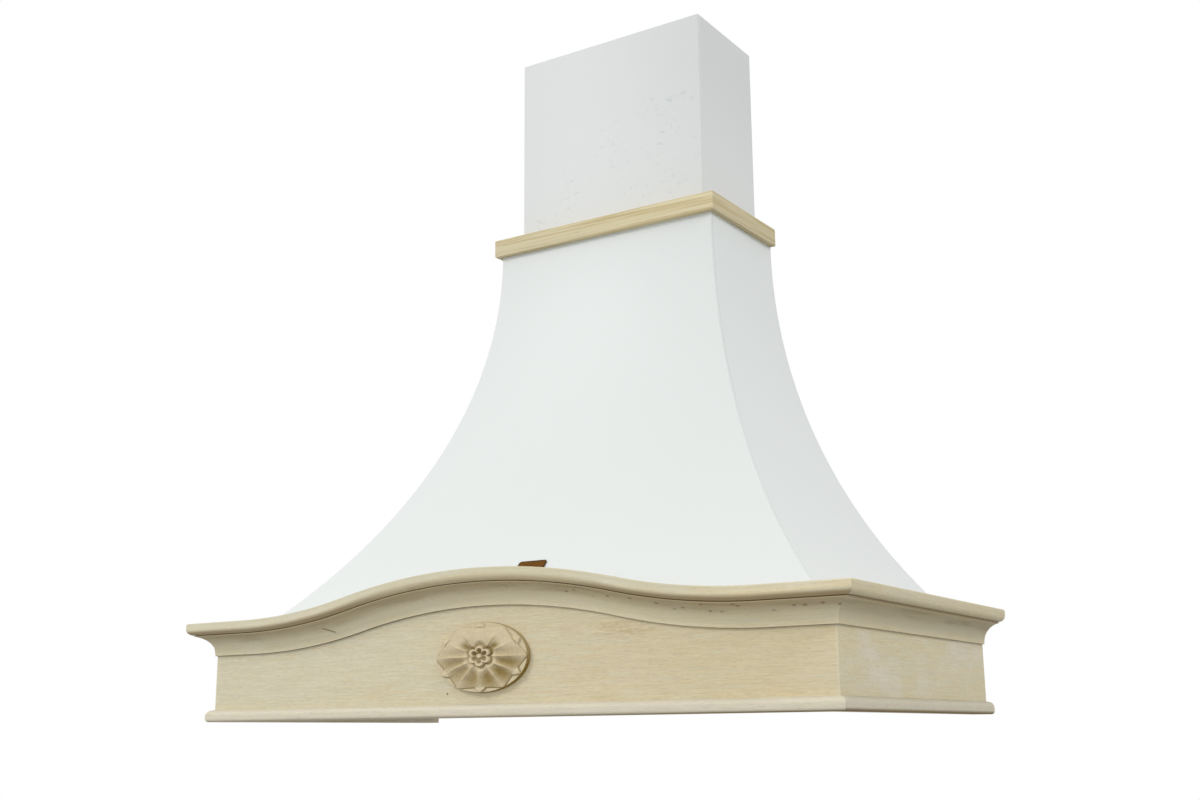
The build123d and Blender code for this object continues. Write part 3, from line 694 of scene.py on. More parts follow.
class Finish:
    """Procedural finish of a new material, or of the world, built node by node."""

    def __init__(self, name, world=None):
        self.material = world or bpy.data.materials.new(name)
        self.material.use_nodes = True
        self.tree = self.material.node_tree
        self.tree.nodes.clear()

    def node(self, kind, settings=None, inputs=None, out=0):
        """Any node: its settings are set first, then the values or links of its inputs."""
        made = self.tree.nodes.new(kind)
        for name, value in (settings or {}).items():
            setattr(made, name, value)
        for name, value in (inputs or {}).items():
            if isinstance(value, Socket):
                self.tree.links.new(value.link, made.inputs[name])
            else:
                made.inputs[name].default_value = value
        return Socket(self, made.outputs[out]) if made.outputs else None

    def maths(self, operation, first, second):
        """One Math node."""
        return self.node("ShaderNodeMath", {"operation": operation}, {0: first, 1: second})

    def vector_maths(self, operation, inputs, out=0):
        """One Vector Math node."""
        return self.node("ShaderNodeVectorMath", {"operation": operation}, inputs, out)

    def place(self):
        """Object coordinates."""
        return self.node("ShaderNodeTexCoord", out="Object")

    def facing(self, direction):
        """How squarely the surface faces along a direction, 0 to 1."""
        normal = self.node("ShaderNodeTexCoord", out="Normal")
        return abs(self.dot(normal, direction))

    def dot(self, vector, direction):
        """Distance of a vector along a direction."""
        return self.vector_maths("DOT_PRODUCT", {0: vector, 1: direction}, "Value")

    def length(self, vector):
        """Length of a vector."""
        return self.vector_maths("LENGTH", {0: vector}, "Value")

    def combine(self, x, y, z):
        """Vector of three values."""
        return self.node("ShaderNodeCombineXYZ", {}, {0: x, 1: y, 2: z})

    def split(self, vector):
        """The three values of a vector."""
        first = self.node("ShaderNodeSeparateXYZ", {}, {0: vector})
        return [Socket(self, first.link.node.outputs[axis]) for axis in range(3)]

    def grain(self, long, thick):
        """Coordinates along the grain, across it and through the thickness."""
        place = self.place()
        cross = tuple(Vector(long).cross(Vector(thick)))
        return self.combine(self.dot(place, long), self.dot(place, cross), self.dot(place, thick))

    def scaled(self, vector, size):
        """Vector divided by a size, which is one number or one for each axis."""
        factors = (1 / np.broadcast_to(size, 3)).tolist()
        return self.vector_maths("MULTIPLY", {0: vector, 1: factors})

    def noise(self, vector, size, detail=2.0, roughness=0.5, distortion=0.0):
        """Noise, 0 to 1, whose features have a size, the same one or one for each axis."""
        inputs = {
            "Vector": self.scaled(vector, size),
            "Scale": 1.0,
            "Detail": detail,
            "Roughness": roughness,
            "Distortion": distortion,
        }
        return self.node("ShaderNodeTexNoise", {}, inputs)

    def cells(self, vector, size, dimensions="3D"):
        """Distance to the nearest of scattered points, one in each cell of a size."""
        inputs = {"Vector": self.scaled(vector, size), "Scale": 1.0}
        settings = {"voronoi_dimensions": dimensions}
        return self.node("ShaderNodeTexVoronoi", settings, inputs, out="Distance")

    def smooth(self, value, low, high):
        """Smooth step from 0 at low to 1 at high."""
        settings = {"interpolation_type": "SMOOTHSTEP"}
        return self.node("ShaderNodeMapRange", settings, {0: value, 1: low, 2: high})

    def fade(self, value, low, high):
        """Smooth step from 1 at low to 0 at high."""
        return 1 - self.smooth(value, low, high)

    def mix(self, factor, first, second):
        """Colour between two colours."""
        colours = [c if isinstance(c, Socket) else (*c[:3], 1) for c in (first, second)]
        inputs = {0: factor, 6: colours[0], 7: colours[1]}
        return self.node("ShaderNodeMix", {"data_type": "RGBA"}, inputs, out=2)

    def shade(self, colour, strength):
        """Colour made lighter or darker by a factor."""
        return self.vector_maths("SCALE", {0: colour, "Scale": strength})

    def attribute(self, name):
        """Value kept on the piece's points."""
        settings = {"attribute_name": name, "attribute_type": "GEOMETRY"}
        return self.node("ShaderNodeAttribute", settings, out="Fac")

    def close(self, colour, roughness, relief=None, relief_depth=0.0002, **constants):
        """End the finish in a surface shader, with fixed values set on its own sockets."""
        inputs = {"Base Color": colour, "Roughness": roughness}
        if relief is not None:
            bump_inputs = {"Height": relief, "Distance": relief_depth, "Strength": 1.0}
            inputs["Normal"] = self.node("ShaderNodeBump", {}, bump_inputs)
        inputs.update({name.replace("_", " "): value for name, value in constants.items()})
        surface = self.node("ShaderNodeBsdfPrincipled", {}, inputs)
        self.node("ShaderNodeOutputMaterial", {}, {"Surface": surface})
        return self.material


def bare_wood(name, vector_of, tones, strength, lean=0.0, patches=0.0):
    """Bare sanded wood, before it is closed: its finish, its grain, its colour and its relief.

    Fine streaks and fibres over a faint growth figure between two tones, which lean from the first
    to the second along the piece, pale sanded patches of the third and pores of the fourth.
    """
    finish = Finish(name)
    vector = vector_of(finish)
    long, _, _ = finish.split(vector)
    figure = finish.noise(vector, (0.11, 0.0075, 0.0075), 3, 0.62, 1.2)
    streak = finish.noise(vector, (0.045, 0.0021, 0.0021), 3, 0.65, 0.3)
    fibre = finish.noise(vector, (0.009, 0.0009, 0.0009), 2, 0.6)
    patch = finish.noise(vector, (0.080, 0.045, 0.045), 3, 0.55)
    share = 0.5 + lean * (finish.smooth(long, -HALF, HALF) - 0.5) + 1.6 * (figure - 0.5)
    share = share - 1.3 * (streak - 0.5) - 0.9 * (fibre - 0.5)
    colour = finish.mix(finish.smooth(share, 0.0, 1.0), tones[0], tones[1])
    colour = finish.mix(finish.smooth(patch, 0.40, 0.72) * patches, colour, tones[2])
    pore = finish.smooth(finish.noise(vector, (0.007, 0.0009, 0.0009), 1, 0.5), 0.60, 0.74)
    colour = finish.mix(pore * 0.16, colour, tones[3])
    light = 1 + 0.32 * (streak - 0.5) + 0.28 * (fibre - 0.5)
    # Strength makes lighter and darker copies of one wood, which the steps use as painted light and
    # shade between fronts and sides
    colour = finish.shade(colour, light * strength)
    return finish, vector, colour, fibre * 0.6 + streak * 0.4 - 0.5 * pore


def close_wood(finish, colour, relief):
    """End bare wood in its dull sanded surface."""
    roughness = 0.66 + 0.10 * (relief - 0.5)
    return finish.close(colour, roughness, relief, 0.0001, Specular_IOR_Level=0.3)


def board_wood(name, vector_of, colours, strength, lean, patches):
    """Wood of the boards: a brown swirl, a pale arris where it is sanded and one dark speck."""
    tones = (colours.wood_cream, colours.wood_straw, colours.wood_pale, colours.wood_deep)
    finish, _, colour, relief = bare_wood(name, vector_of, tones, strength, lean, patches)
    x, y, z = finish.split(finish.place())
    across, up = (x - SWIRL[0]) / SWIRL_REACH[0], (z - SWIRL[1]) / SWIRL_REACH[1]
    near = finish.fade(finish.length(finish.combine(across, 0.0, up)), 0.2, 1.0)
    curl = finish.smooth(finish.noise(finish.place(), (0.022, 1, 0.0035), 3, 0.6, 1.5), 0.45, 0.62)
    colour = finish.mix(near * curl * 0.55, colour, colours.wood_swirl)
    past = finish.smooth(abs(x), HALF - 0.0042, HALF - 0.0022)
    sanded = past * finish.fade(abs(x), HALF - 0.0008, HALF - 0.0002)
    colour = finish.mix(sanded * 0.35, colour, colours.wood_sanded)
    away = finish.length(finish.combine(x - SPECK[0], y + DEPTH, z - SPECK[1]))
    speck = finish.fade(away, 0.0008, 0.0016)
    return close_wood(finish, finish.mix(speck * 0.9, colour, colours.wood_stain), relief)


def moulded_wood(name, colours, strength, depth):
    """Wood of the crown: greyer hollow; brown painted shade under the nose, in the hollow's top, in
    the groove and under the lip; a duller upper nose towards the left, with painted shade on the
    top edge; stains below the nose with an even share of painted shade; and one scratch. Depth
    scales the painted shade and the duller top.
    """
    tones = (colours.wood_cream, colours.wood_straw, colours.wood_pale, colours.wood_deep)
    finish, vector, colour, relief = bare_wood(name, map_grain, tones, strength, 0.3, 0.3)
    long, around, _ = finish.split(vector)

    def belt(low, high, soft):
        """1 between two distances round the profile, with soft edges."""
        rise = finish.smooth(around, low - soft, low + soft)
        return rise * finish.fade(around, high - soft, high + soft)

    # Grey in the hollow, and a thin stain in its upper half, patchy over an even share of painted
    # shade
    grey = finish.shade(colours.wood_grey, strength)
    colour = finish.mix(belt(*GREY_BELT) * 0.4, colour, grey)
    film = finish.smooth(finish.noise(vector, (0.09, 0.010, 1), 3, 0.6), 0.42, 0.68)
    stained = belt(*STAIN_BELT) * (0.10 + 0.20 * film)
    colour = finish.mix(stained, colour, colours.wood_stain)

    # Specks in a row, smaller dots and the scratch
    ragged = finish.noise(vector, (0.004, 0.003, 1), 2, 0.6)
    row = finish.combine(long + 0.006 * (ragged - 0.5), around - SPECK_ROW, 0.0)
    away = finish.cells(row, (0.019, 0.012, 1), "2D") + 0.22 * (ragged - 0.5)
    spots = finish.fade(away, 0.06, 0.20)
    some = finish.smooth(finish.noise(vector, (0.035, 1, 1), 1), 0.38, 0.48)
    on_front = finish.smooth(long, -0.10, 0.25) * finish.fade(long, *FRONT_END)
    spots = spots * some * belt(*SPECK_BELT) * on_front
    dots = finish.fade(finish.cells(vector, (0.0055, 0.0045, 1), "2D"), 0.08, 0.24)
    dots = dots * belt(*DOT_BELT) * film * 0.4
    at, up = long - SCRATCH[0], around - SCRATCH[1]
    down = at * cos(SCRATCH_TURN) + up * sin(SCRATCH_TURN)
    off = up * cos(SCRATCH_TURN) - at * sin(SCRATCH_TURN)
    scratch = finish.fade(abs(down), 0.008, 0.013) * finish.fade(abs(off), 0.0004, 0.0018)
    marks = finish.maths("MAXIMUM", spots + dots, scratch)
    colour = finish.mix(marks * 0.62, colour, colours.wood_stain)

    # Duller, greyer tone on the upper nose towards the left end, painted shade darkening the top
    # edge, and brown painted shade from the hollow up to the nose and in the fine groove, less of
    # it on the wave's crest
    darkening = finish.smooth(around, *NOSE_DULLING) * finish.fade(long, 0.25, 0.42)
    colour = finish.mix(darkening * 0.40 * depth, colour, colours.wood_dull)
    colour = finish.shade(colour, 1 - 0.17 * finish.smooth(around, *TOP_SHADE) * depth)
    crest = finish.fade(abs(long), 0.10, 0.21)
    past_turn = (around - NOSE_TURN + 0.0055 * crest) / (0.006 + 0.011 * crest)
    under = finish.smooth(around, *NOSE_FOOT)
    under = under * finish.fade(past_turn, 0.0, 1.0) * (0.66 - 0.24 * crest)
    deep = finish.smooth(around, 0.012, 0.034) * belt(-1, HOLLOW_END, 0.0002) * 0.42
    deep = under + deep + belt(*GROOVE_SHADE_BELT) * 0.7
    colour = finish.mix(deep * depth, colour, colours.wood_deep)
    # Painted shade under the lip
    colour = finish.mix(belt(-1, LIP_END, 0.0003) * depth, colour, colours.wood_stain)
    return close_wood(finish, colour, relief)


def bead_wood(name, vector_of, colours, strength, shade_height):
    """Wood of the bead: painted shade along its lower edge, stronger towards the right, and a
    little on its rounded top.
    """
    tones = (colours.wood_cream, colours.wood_pale, colours.wood_pale, colours.wood_deep)
    finish, _, colour, relief = bare_wood(name, vector_of, tones, strength, 0.0, 0.3)
    x, _, z = finish.split(finish.place())
    # Painted shade along the foot, more towards the right
    low = finish.fade(z, FOOT + 0.0003, FOOT + shade_height)
    low = low * (0.35 + 0.55 * finish.smooth(x, -0.2, HALF))
    # Painted shade darkening the rounded top
    high = finish.smooth(z, FOOT + BEAD_RISE - 0.0065, FOOT + BEAD_RISE - 0.0020)
    colour = finish.shade(colour, 0.99 - 0.15 * high)
    return close_wood(finish, finish.mix(low, colour, colours.wood_deep), relief)


def map_grain(finish):
    """Grain that follows the piece's own map."""
    return finish.node("ShaderNodeUVMap", {"uv_map": GRAIN_MAP})


def across_grain(finish):
    """Grain along the front."""
    return finish.grain((1, 0, 0), (0, 1, 0))


def back_grain(finish):
    """Grain along a side."""
    return finish.grain((0, 1, 0), (1, 0, 0))


def carved_wood(name, colours):
    """Carved wood: sandy tool marks over faint fibres, with painted shade from each point's hollow
    value, where the sand is coarser too.
    """
    finish = Finish(name)
    vector = across_grain(finish)
    sand = finish.noise(vector, 0.0026, 3, 0.65)
    figure = finish.noise(vector, (0.05, 0.006, 0.01), 3, 0.6)
    hollow = finish.attribute("hollow")
    straw = finish.smooth(figure, 0.35, 0.65) * 0.5
    tan = finish.mix(straw, colours.rosette_tan, colours.wood_straw)
    colour = finish.mix(hollow, tan, colours.carve_deep)
    colour = finish.shade(colour, 1 + (0.35 + 0.55 * hollow) * (sand - 0.5))
    roughness = 0.72 + 0.12 * (sand - 0.5)
    return finish.close(colour, roughness, sand, 0.0002, Specular_IOR_Level=0.3)


def ash_wood(name, vector_of, colours, strength, lean=0.0):
    """Straight-grained ash: dark late growth in lines, short open pores, paler along its length."""
    finish = Finish(name)
    vector = vector_of(finish)
    long, _, _ = finish.split(vector)
    onwards = finish.smooth(long, -NECK_HALF, NECK_HALF) - 0.5
    lines = finish.noise(vector, (0.13, 0.0019, 0.0019), 2, 0.5, 0.3)
    broad = finish.noise(vector, (0.25, 0.012, 0.012), 2, 0.5)
    pores = finish.noise(vector, (0.007, 0.0007, 0.0007), 2, 0.6)
    late = finish.smooth(lines, 0.46, 0.62)
    dark = late * 0.62 + 0.3 * finish.smooth(broad, 0.4, 0.7)
    colour = finish.mix(dark, colours.ash_light, colours.ash_dark)
    open_pore = finish.smooth(pores, 0.60, 0.75) * (0.35 + 0.65 * late)
    colour = finish.shade(colour, strength + lean * onwards - 0.20 * open_pore)
    relief = 0 - open_pore * 0.8 - late * 0.2
    return finish.close(colour, 0.6 + 0.1 * late, relief, 0.00025, Specular_IOR_Level=0.35)


def white_paint(name, white, mark_tone=None):
    """Sprayed white paint: faint clouding and orange peel.

    With a tone for marks, it is the flue's: marked in a belt on the front, made a little lighter
    all over and darker higher up, more so on the sides, as painted light and shade.
    """
    finish = Finish(name)
    place = finish.place()
    cloud = finish.noise(place, 0.22, 3, 0.5)
    peel = finish.noise(place, 0.0022, 2, 0.5)
    colour = finish.shade(white, 1 + 0.018 * (cloud - 0.5))
    relief = peel
    if mark_tone is not None:
        x, y, z = finish.split(place)
        beside = finish.smooth(y, 0.002 - FLUE_DEPTH, 0.010 - FLUE_DEPTH)
        rise = z - 0.42 * x
        belt = finish.smooth(rise, 0.63, 0.69) * finish.fade(rise, 0.79, 0.87)
        stroke = finish.noise(place, (0.010, 0.008, 0.0065), 3, 0.7, 0.8)
        sparse = finish.noise(place, 0.035, 2, 0.5)
        belt = belt * (1 - beside)
        mark = finish.smooth(stroke, 0.57, 0.66) * finish.smooth(sparse, 0.42, 0.56) * belt
        colour = finish.mix(mark * 0.55, colour, mark_tone)
        # Painted light and shade: a little lighter all over, darker towards the top, both more on
        # the sides
        dull = finish.smooth(z, 0.68, 0.95) * (0.06 + 0.05 * beside)
        colour = finish.shade(colour, 1.03 + 0.015 * beside - dull)
        relief = peel - mark * 0.8
    roughness = 0.46 + 0.08 * (cloud - 0.5)
    return finish.close(colour, roughness, relief, 0.00004, Specular_IOR_Level=0.4)


def plywood(name, colours, long, thick):
    """Plywood: figured faces, and layers that show on every edge."""
    finish = Finish(name)
    vector = finish.grain(long, thick)
    _, _, depth = finish.split(vector)
    face = finish.smooth(finish.facing(thick), 0.5, 0.8)
    figure = finish.noise(vector, (0.20, 0.014, 0.014), 4, 0.6, 1.2)
    fibre = finish.noise(vector, (0.03, 0.0012, 0.0012), 3, 0.6)
    layer = finish.maths("PINGPONG", depth + 1.0, PLY_LAYER) / PLY_LAYER
    end_grain = finish.smooth(layer, 0.42, 0.58)
    rough_cut = finish.noise(vector, (0.004, 0.004, 0.0008), 3, 0.7)
    on_edge = end_grain * 0.75 + 0.3 * (rough_cut - 0.5)
    on_face = finish.smooth(figure, 0.4, 0.7) * 0.45
    tones = [finish.mix(dark, colours.ply_light, colours.ply_dark) for dark in (on_edge, on_face)]
    colour = finish.mix(face, *tones)
    colour = finish.shade(colour, 1 + 0.14 * (fibre - 0.5))
    return finish.close(colour, 0.66 + 0.1 * (fibre - 0.5), fibre, 0.0002, Specular_IOR_Level=0.3)


def softwood(name, colours, long, thick):
    """Planed softwood: growth rings in long bands, curved on the cut ends."""
    finish = Finish(name)
    vector = finish.grain(long, thick)
    _, cross, depth = finish.split(vector)
    sway = finish.noise(vector, (0.25, 0.05, 0.05), 2, 0.5)
    reach = cross * cross * 14.0 + (depth + 0.02) + sway * 0.012
    ring = finish.maths("PINGPONG", reach + 1.0, PINE_RING) / PINE_RING
    late = finish.smooth(ring, 0.55, 0.95)
    fibre = finish.noise(vector, (0.04, 0.0010, 0.0010), 3, 0.6)
    colour = finish.mix(late * 0.65, colours.pine_light, colours.pine_dark)
    cut = finish.smooth(finish.facing(long), 0.7, 0.9)
    colour = finish.shade(colour, 1 + 0.12 * (fibre - 0.5) - 0.18 * cut)
    return finish.close(colour, 0.6 + 0.1 * (fibre - 0.5), fibre, 0.0002, Specular_IOR_Level=0.35)


def coated_steel(name, colours):
    """Coated sheet steel: faint rolling lines and a soft sheen."""
    finish = Finish(name)
    place = finish.place()
    rolled = finish.noise(place, (0.25, 0.0016, 0.0016), 3, 0.6)
    cloud = finish.noise(place, 0.05, 3, 0.5)
    colour = finish.shade(colours.steel, 1 + 0.06 * (rolled - 0.5) + 0.05 * (cloud - 0.5))
    roughness = 0.36 + 0.14 * (rolled - 0.5) + 0.1 * (cloud - 0.5)
    return finish.close(colour, roughness, rolled, 0.00003, Metallic=0.85)


def zinc_plate(name, colours):
    """Zinc-plated screws: mottled dull metal."""
    finish = Finish(name)
    mottle = finish.noise(finish.place(), 0.0022, 3, 0.6)
    colour = finish.shade(colours.zinc, 1 + 0.3 * (mottle - 0.5))
    return finish.close(colour, 0.34 + 0.25 * (mottle - 0.5), mottle, 0.00005, Metallic=1.0)


def brown_lacquer(name, colours):
    """Small plate: brown lacquer with a dotted ground and a dark rim."""
    finish = Finish(name)
    low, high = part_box("badge")
    place = finish.place()
    dots = finish.cells(place, 0.0030)
    cloud = finish.noise(place, 0.009, 2, 0.5)
    x, _, z = finish.split(place)
    middle_x, middle_z = (low.x + high.x) / 2, (low.z + high.z) / 2
    edge_x = abs(x - middle_x) / ((high.x - low.x) / 2)
    edge_z = abs(z - middle_z) / ((high.z - low.z) / 2)
    rim = finish.smooth(edge_x, 0.93, 0.96), finish.smooth(edge_z, 0.88, 0.92)
    rim = finish.maths("MAXIMUM", *rim)
    ground = finish.fade(dots, 0.22, 0.42) * 0.7 + 0.5 * (cloud - 0.5)
    colour = finish.mix(ground, colours.badge_brown, colours.badge_dark)
    colour = finish.mix(rim * 0.9, colour, colours.badge_dark)
    return finish.close(colour, 0.6 + 0.1 * (cloud - 0.5), dots, 0.0001, Specular_IOR_Level=0.1)


# Stage


def lay_floor(stage, colours):
    """Plain floor: diffuse under the cover, where it keeps the shadow, and white far out."""
    reach = stage.floor_reach
    corners = [(-reach, -reach), (reach, -reach), (reach, reach), (-reach, reach)]
    mesh = bpy.data.meshes.new("floor_mesh")
    mesh.from_pydata([(x, y, -stage.floor_drop) for x, y in corners], [], [(0, 1, 2, 3)])
    put("floor", mesh)
    finish = Finish("floor_plain")
    away = finish.length(finish.place())
    speckle = finish.noise(finish.place(), 0.4, 3)
    grey = finish.shade(colours.floor, 1 + 0.01 * (speckle - 0.5))
    matt = finish.node("ShaderNodeBsdfDiffuse", {}, {"Color": grey})
    white = finish.node("ShaderNodeEmission", {}, {"Color": WHITE, "Strength": 1.0})
    seen = finish.node("ShaderNodeLightPath", out="Is Camera Ray")
    share = seen * (0.72 + 0.28 * finish.smooth(away, *WHITENING))
    surface = finish.node("ShaderNodeMixShader", {}, {0: share, 1: matt, 2: white})
    finish.node("ShaderNodeOutputMaterial", {}, {"Surface": surface})
    mesh.materials.append(finish.material)


def hang_light(name, power, place, size):
    """Large soft box that aims at the cover's middle."""
    data = bpy.data.lights.new(name, "AREA")
    data.shape, data.size = "SQUARE", size
    data.energy = power
    lamp = put(name, data)
    lamp.location = place
    aim = Vector((0, -DEPTH / 2, NECK_Z / 2)) - Vector(place)
    lamp.rotation_euler = aim.to_track_quat("-Z", "Y").to_euler()


def light_world(stage):
    """Even light from all round, a little stronger from the sides; white to the camera."""
    world = bpy.data.worlds.new("studio")
    bpy.context.scene.world = world
    sky = Finish("studio", world)
    _, _, up = sky.split(sky.node("ShaderNodeTexCoord", out="Generated"))
    strength = stage.sky_level + (stage.sky_high - stage.sky_level) * sky.smooth(up, 0.0, 1.0)
    soft = sky.node("ShaderNodeBackground", {}, {"Color": WHITE, "Strength": strength})
    white = sky.node("ShaderNodeBackground", {}, {"Color": WHITE, "Strength": 1.0})
    kinds = ("Is Camera Ray", "Is Glossy Ray", "Is Transmission Ray")
    camera, glossy, through = (sky.node("ShaderNodeLightPath", out=kind) for kind in kinds)
    rays = camera + glossy + through
    surface = sky.node("ShaderNodeMixShader", {}, {0: rays, 1: soft, 2: white})
    sky.node("ShaderNodeOutputWorld", {}, {"Surface": surface})


def place_camera(stage):
    """Camera at the photograph's angle, turned by yaw, pitch and roll in that order."""
    data = bpy.data.cameras.new("camera")
    data.sensor_width, data.lens = 36, stage.camera_lens
    data.clip_start, data.clip_end = 0.05, 100
    camera = put("camera", data)
    turn = Matrix.Rotation(stage.camera_yaw, 4, "Z")
    tilt = Matrix.Rotation(pi / 2 + stage.camera_pitch, 4, "X")
    roll = Matrix.Rotation(stage.camera_roll, 4, "Z")
    camera.matrix_world = Matrix.Translation(stage.camera_place) @ turn @ tilt @ roll
    bpy.context.scene.camera = camera


# Operators


def hood_settings(context):
    """Sizes and colours that the steps read."""
    return context.scene.hood_sizes, context.scene.hood_colours


class HOOD_OT_boards(bpy.types.Operator):
    """Front board with its waved top, and the two side boards"""

    bl_idname = "hood.boards"
    bl_label = "Boards"
    bl_options = {"REGISTER", "UNDO"}

    def execute(self, context):
        sizes, colours = hood_settings(context)
        finish = board_wood("front_wood", across_grain, colours, 1.0, 0.7, 0.15)
        rings = front_board_rings(sizes)
        add_piece("front_board_eased", rings, finish, "frame_wood", "front_board")
        # Darker copy of the same wood for the sides: painted shade
        finish = board_wood("side_wood", back_grain, colours, 0.90, 0.0, 0.8)
        for name, side in SIDES:
            node = f"side_board_{name}"
            rings = side_board_rings(sizes, side)
            add_piece(node + "_eased", rings, finish, "frame_wood", node)
        return {"FINISHED"}


class HOOD_OT_crown(bpy.types.Operator):
    """Crown moulding along the wave and along both sides"""

    bl_idname = "hood.crown"
    bl_label = "Crown moulding"
    bl_options = {"REGISTER", "UNDO"}

    def execute(self, context):
        sizes, colours = hood_settings(context)
        profile = crown_profile(sizes)
        # The front crown's wood made lighter than the boards' as painted light
        finish = moulded_wood("front_crown_wood", colours, 1.08, 1.0)
        rings, along = run_of_wave(profile, CROWN_FOOT, sizes)
        add_piece("crown_wave", rings, finish, "frame_wood", "front_crown", along=along)
        # Darker copy for the sides, with less of the painted marks: painted shade
        finish = moulded_wood("side_crown_wood", colours, 0.88, 0.45)
        for name, side in SIDES:
            rings, along = run_back(profile, CROWN_FOOT, HALF, DEPTH, side, sizes.corner)
            node = f"side_crown_{name}"
            add_piece(f"crown_{name}", rings, finish, "frame_wood", node, along=along)
        return {"FINISHED"}


class HOOD_OT_beads(bpy.types.Operator):
    """Bead along the lower edge"""

    bl_idname = "hood.beads"
    bl_label = "Beads"
    bl_options = {"REGISTER", "UNDO"}

    def execute(self, context):
        sizes, colours = hood_settings(context)
        profile = bead_profile(sizes)
        finish = bead_wood("front_bead_wood", across_grain, colours, 1.0, 0.0024)
        rings = run_across(profile, FOOT, HALF, DEPTH, sizes.corner)
        add_piece("bead_front", rings, finish, "frame_wood", "front_bead")
        # Darker copy for the sides: painted shade
        finish = bead_wood("side_bead_wood", back_grain, colours, 0.80, 0.0045)
        for name, side in SIDES:
            rings, _ = run_back(profile, FOOT, HALF, DEPTH, side, sizes.corner)
            add_piece(f"bead_{name}", rings, finish, "frame_wood", f"side_bead_{name}")
        return {"FINISHED"}


class HOOD_OT_rosette(bpy.types.Operator):
    """Carved oval rosette"""

    bl_idname = "hood.rosette"
    bl_label = "Rosette"
    bl_options = {"REGISTER", "UNDO"}

    def execute(self, context):
        sizes, colours = hood_settings(context)
        # hollow holds the painted shade of each point of the carving
        rings, hollow = rosette_rings(sizes)
        finish = carved_wood("rosette_wood", colours)
        add_piece("rosette_carved", rings, finish, "frame_wood", "rosette", marks=hollow)
        return {"FINISHED"}


class HOOD_OT_canopy(bpy.types.Operator):
    """Hollow-curved skins of the canopy"""

    bl_idname = "hood.canopy"
    bl_label = "Canopy"
    bl_options = {"REGISTER", "UNDO"}

    def execute(self, context):
        sizes, colours = hood_settings(context)
        finish = white_paint("canopy_paint", colours.paint)
        rings = front_skin_rings(sizes)
        add_piece("canopy_front_skin", rings, finish, "white_paint", "canopy_front")
        for name, side in SIDES:
            node = f"canopy_side_{name}"
            add_piece(node + "_skin", side_skin_rings(sizes, side), finish, "white_paint", node)
        return {"FINISHED"}


class HOOD_OT_band(bpy.types.Operator):
    """Wooden band round the neck"""

    bl_idname = "hood.band"
    bl_label = "Neck band"
    bl_options = {"REGISTER", "UNDO"}

    def execute(self, context):
        sizes, colours = hood_settings(context)
        height, edge = BAND_HIGH.z - NECK_Z, sizes.band_edge
        corners = [(0, 0), (BAND_THICK, 0), (BAND_THICK, height), (0, height)]
        profile = rounded(corners, (0, edge, edge, 0))
        # The front band's ash made a little lighter: painted light
        finish = ash_wood("front_ash", across_grain, colours, 1.05, 0.11)
        rings = run_across(profile, NECK_Z, NECK_HALF, NECK_DEPTH)
        add_piece("band_front_ash", rings, finish, "band_wood", "band_front")
        # Darker copy for the sides: painted shade
        finish = ash_wood("side_ash", back_grain, colours, 0.94)
        for name, side in SIDES:
            rings, _ = run_back(profile, NECK_Z, NECK_HALF, NECK_DEPTH, side)
            node = f"band_side_{name}"
            add_piece(node + "_ash", rings, finish, "band_wood", node)
        return {"FINISHED"}


class HOOD_OT_flue(bpy.types.Operator):
    """Panels of the sliding flue"""

    bl_idname = "hood.flue"
    bl_label = "Flue"
    bl_options = {"REGISTER", "UNDO"}

    def execute(self, context):
        sizes, colours = hood_settings(context)
        finish = white_paint("flue_paint", colours.flue_paint, colours.paint_mark)
        for node in ("flue_front", "flue_side_left", "flue_side_right"):
            low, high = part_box(node)
            z = np.linspace(low.z, high.z, 25)
            rings = upright_rings(low.x, high.x, low.y, high.y, z, sizes.edge)
            add_piece(node + "_panel", rings, finish, "white_paint", node, body="flue")
        return {"FINISHED"}


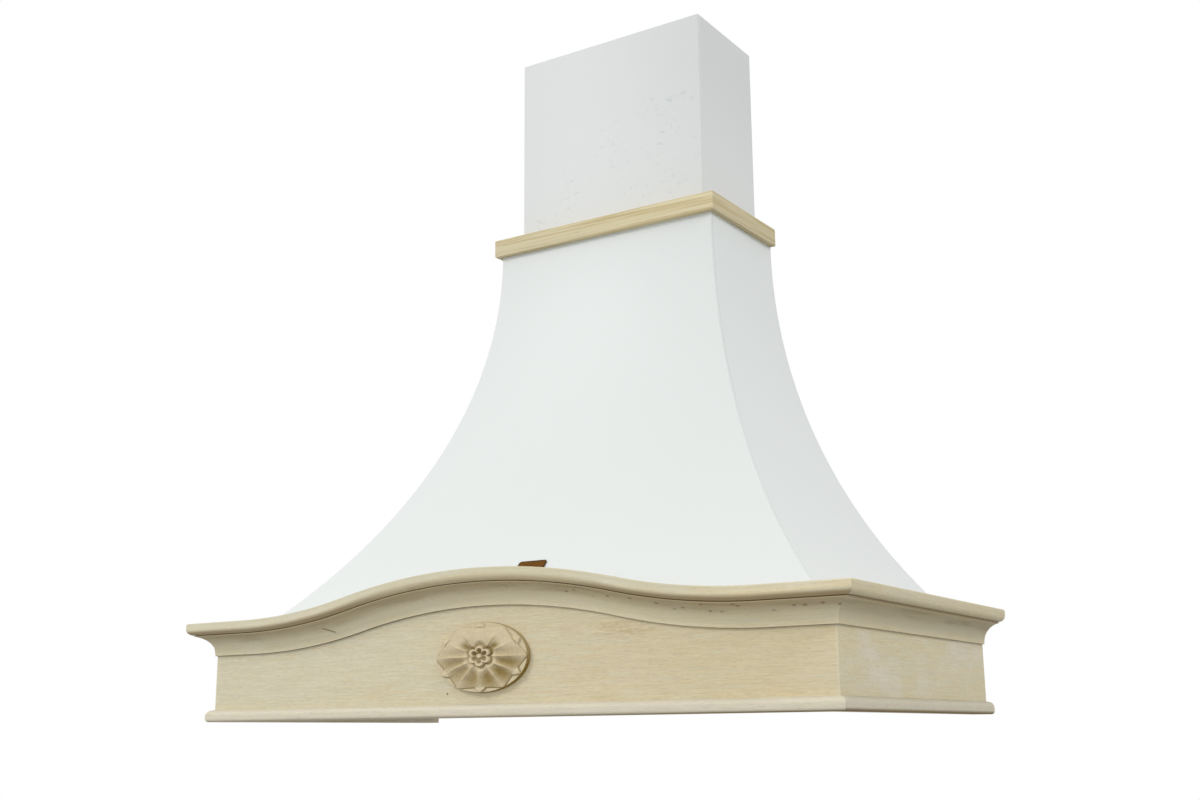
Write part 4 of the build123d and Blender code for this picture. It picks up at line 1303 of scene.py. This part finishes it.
class HOOD_OT_inside(bpy.types.Operator):
    """Finishes of the pieces that keep their CAD shape"""

    bl_idname = "hood.inside"
    bl_label = "Inside pieces"
    bl_options = {"REGISTER", "UNDO"}

    def execute(self, context):
        _, colours = hood_settings(context)
        x, y, z = (1, 0, 0), (0, 1, 0), (0, 0, 1)
        flat = ["deck_front", "deck_back", "flue_shelf", "neck_ring", "flue_top_plate"]
        coat(flat, plywood("flat_ply", colours, x, z))
        coat(["deck_side_left", "deck_side_right"], plywood("deck_ply", colours, y, z))
        coat(["back_rail", "hood_cleat", "wall_cleat"], plywood("wall_ply", colours, x, y))
        ribs = [f"{kind}_rib_{name}" for kind in ("wall", "side") for name, _ in SIDES]
        coat(ribs, plywood("cross_rib_ply", colours, z, y))
        coat([f"front_rib_{name}" for name, _ in SIDES], plywood("front_rib_ply", colours, z, x))
        lean = atan2(SKIN_DEPTH - NECK_DEPTH, SKIN_HALF - NECK_HALF)
        for name, side in SIDES:
            thick = (side * sin(lean), cos(lean), 0)
            coat([f"hip_rib_{name}"], plywood(f"hip_ply_{name}", colours, z, thick))
        kinds = ("{}_block_{}", "flue_{}_batten_{}")
        upright = [kind.format(end, name) for kind in kinds for end in ("front", "back")
                   for name, _ in SIDES]
        coat(upright, softwood("upright_pine", colours, z, x))
        coat(["ledger_front", "ledger_back"], softwood("cross_pine", colours, x, y))
        coat(["ledger_left", "ledger_right"], softwood("side_pine", colours, y, x))
        coat(["liner"], coated_steel("liner_sheet", colours))
        screws = [f"{kind}_screws" for kind in ("block", "deck", "liner", "cleat", "flue_plate")]
        coat(screws, zinc_plate("screw_zinc", colours))
        coat(["badge"], brown_lacquer("badge_lacquer", colours))
        return {"FINISHED"}


class HOOD_OT_stage(bpy.types.Operator):
    """Floor, soft light and camera"""

    bl_idname = "hood.stage"
    bl_label = "Stage"
    bl_options = {"REGISTER", "UNDO"}

    def execute(self, context):
        scene = context.scene
        stage = scene.hood_stage
        lay_floor(stage, scene.hood_colours)
        hang_light("key_box", stage.key_power, stage.key_place, stage.key_size)
        hang_light("fill_box", stage.fill_power, stage.fill_place, stage.key_size)
        light_world(stage)
        place_camera(stage)
        scene.view_settings.view_transform = "Standard"
        return {"FINISHED"}


STEPS = (
    HOOD_OT_boards,
    HOOD_OT_crown,
    HOOD_OT_beads,
    HOOD_OT_rosette,
    HOOD_OT_canopy,
    HOOD_OT_band,
    HOOD_OT_flue,
    HOOD_OT_inside,
    HOOD_OT_stage,
)
GROUPS = (("hood_sizes", HoodSizes), ("hood_colours", HoodColours), ("hood_stage", HoodStage))


class HOOD_PT_panel(bpy.types.Panel):
    """Steps that build the cover, in order"""

    bl_idname = "HOOD_PT_panel"
    bl_label = "Hood cover"
    bl_space_type = "VIEW_3D"
    bl_region_type = "UI"
    bl_category = "Hood cover"

    def draw(self, context):
        for step in STEPS:
            self.layout.operator(step.bl_idname)
        for group, kind in GROUPS:
            for name in kind.__annotations__:
                self.layout.prop(getattr(context.scene, group), name)


def register():
    """Register the settings, the steps and the panel."""
    for name, group in GROUPS:
        bpy.utils.register_class(group)
        setattr(bpy.types.Scene, name, PointerProperty(type=group))
    for step in STEPS + (HOOD_PT_panel,):
        bpy.utils.register_class(step)


def unregister():
    """Take them out again."""
    for step in (HOOD_PT_panel,) + STEPS[::-1]:
        bpy.utils.unregister_class(step)
    for name, group in GROUPS[::-1]:
        delattr(bpy.types.Scene, name)
        bpy.utils.unregister_class(group)


def main():
    """Build the whole cover."""
    register()
    for step in STEPS:
        getattr(bpy.ops.hood, step.bl_idname.split(".")[1])()


if __name__ == "__main__":
    main()
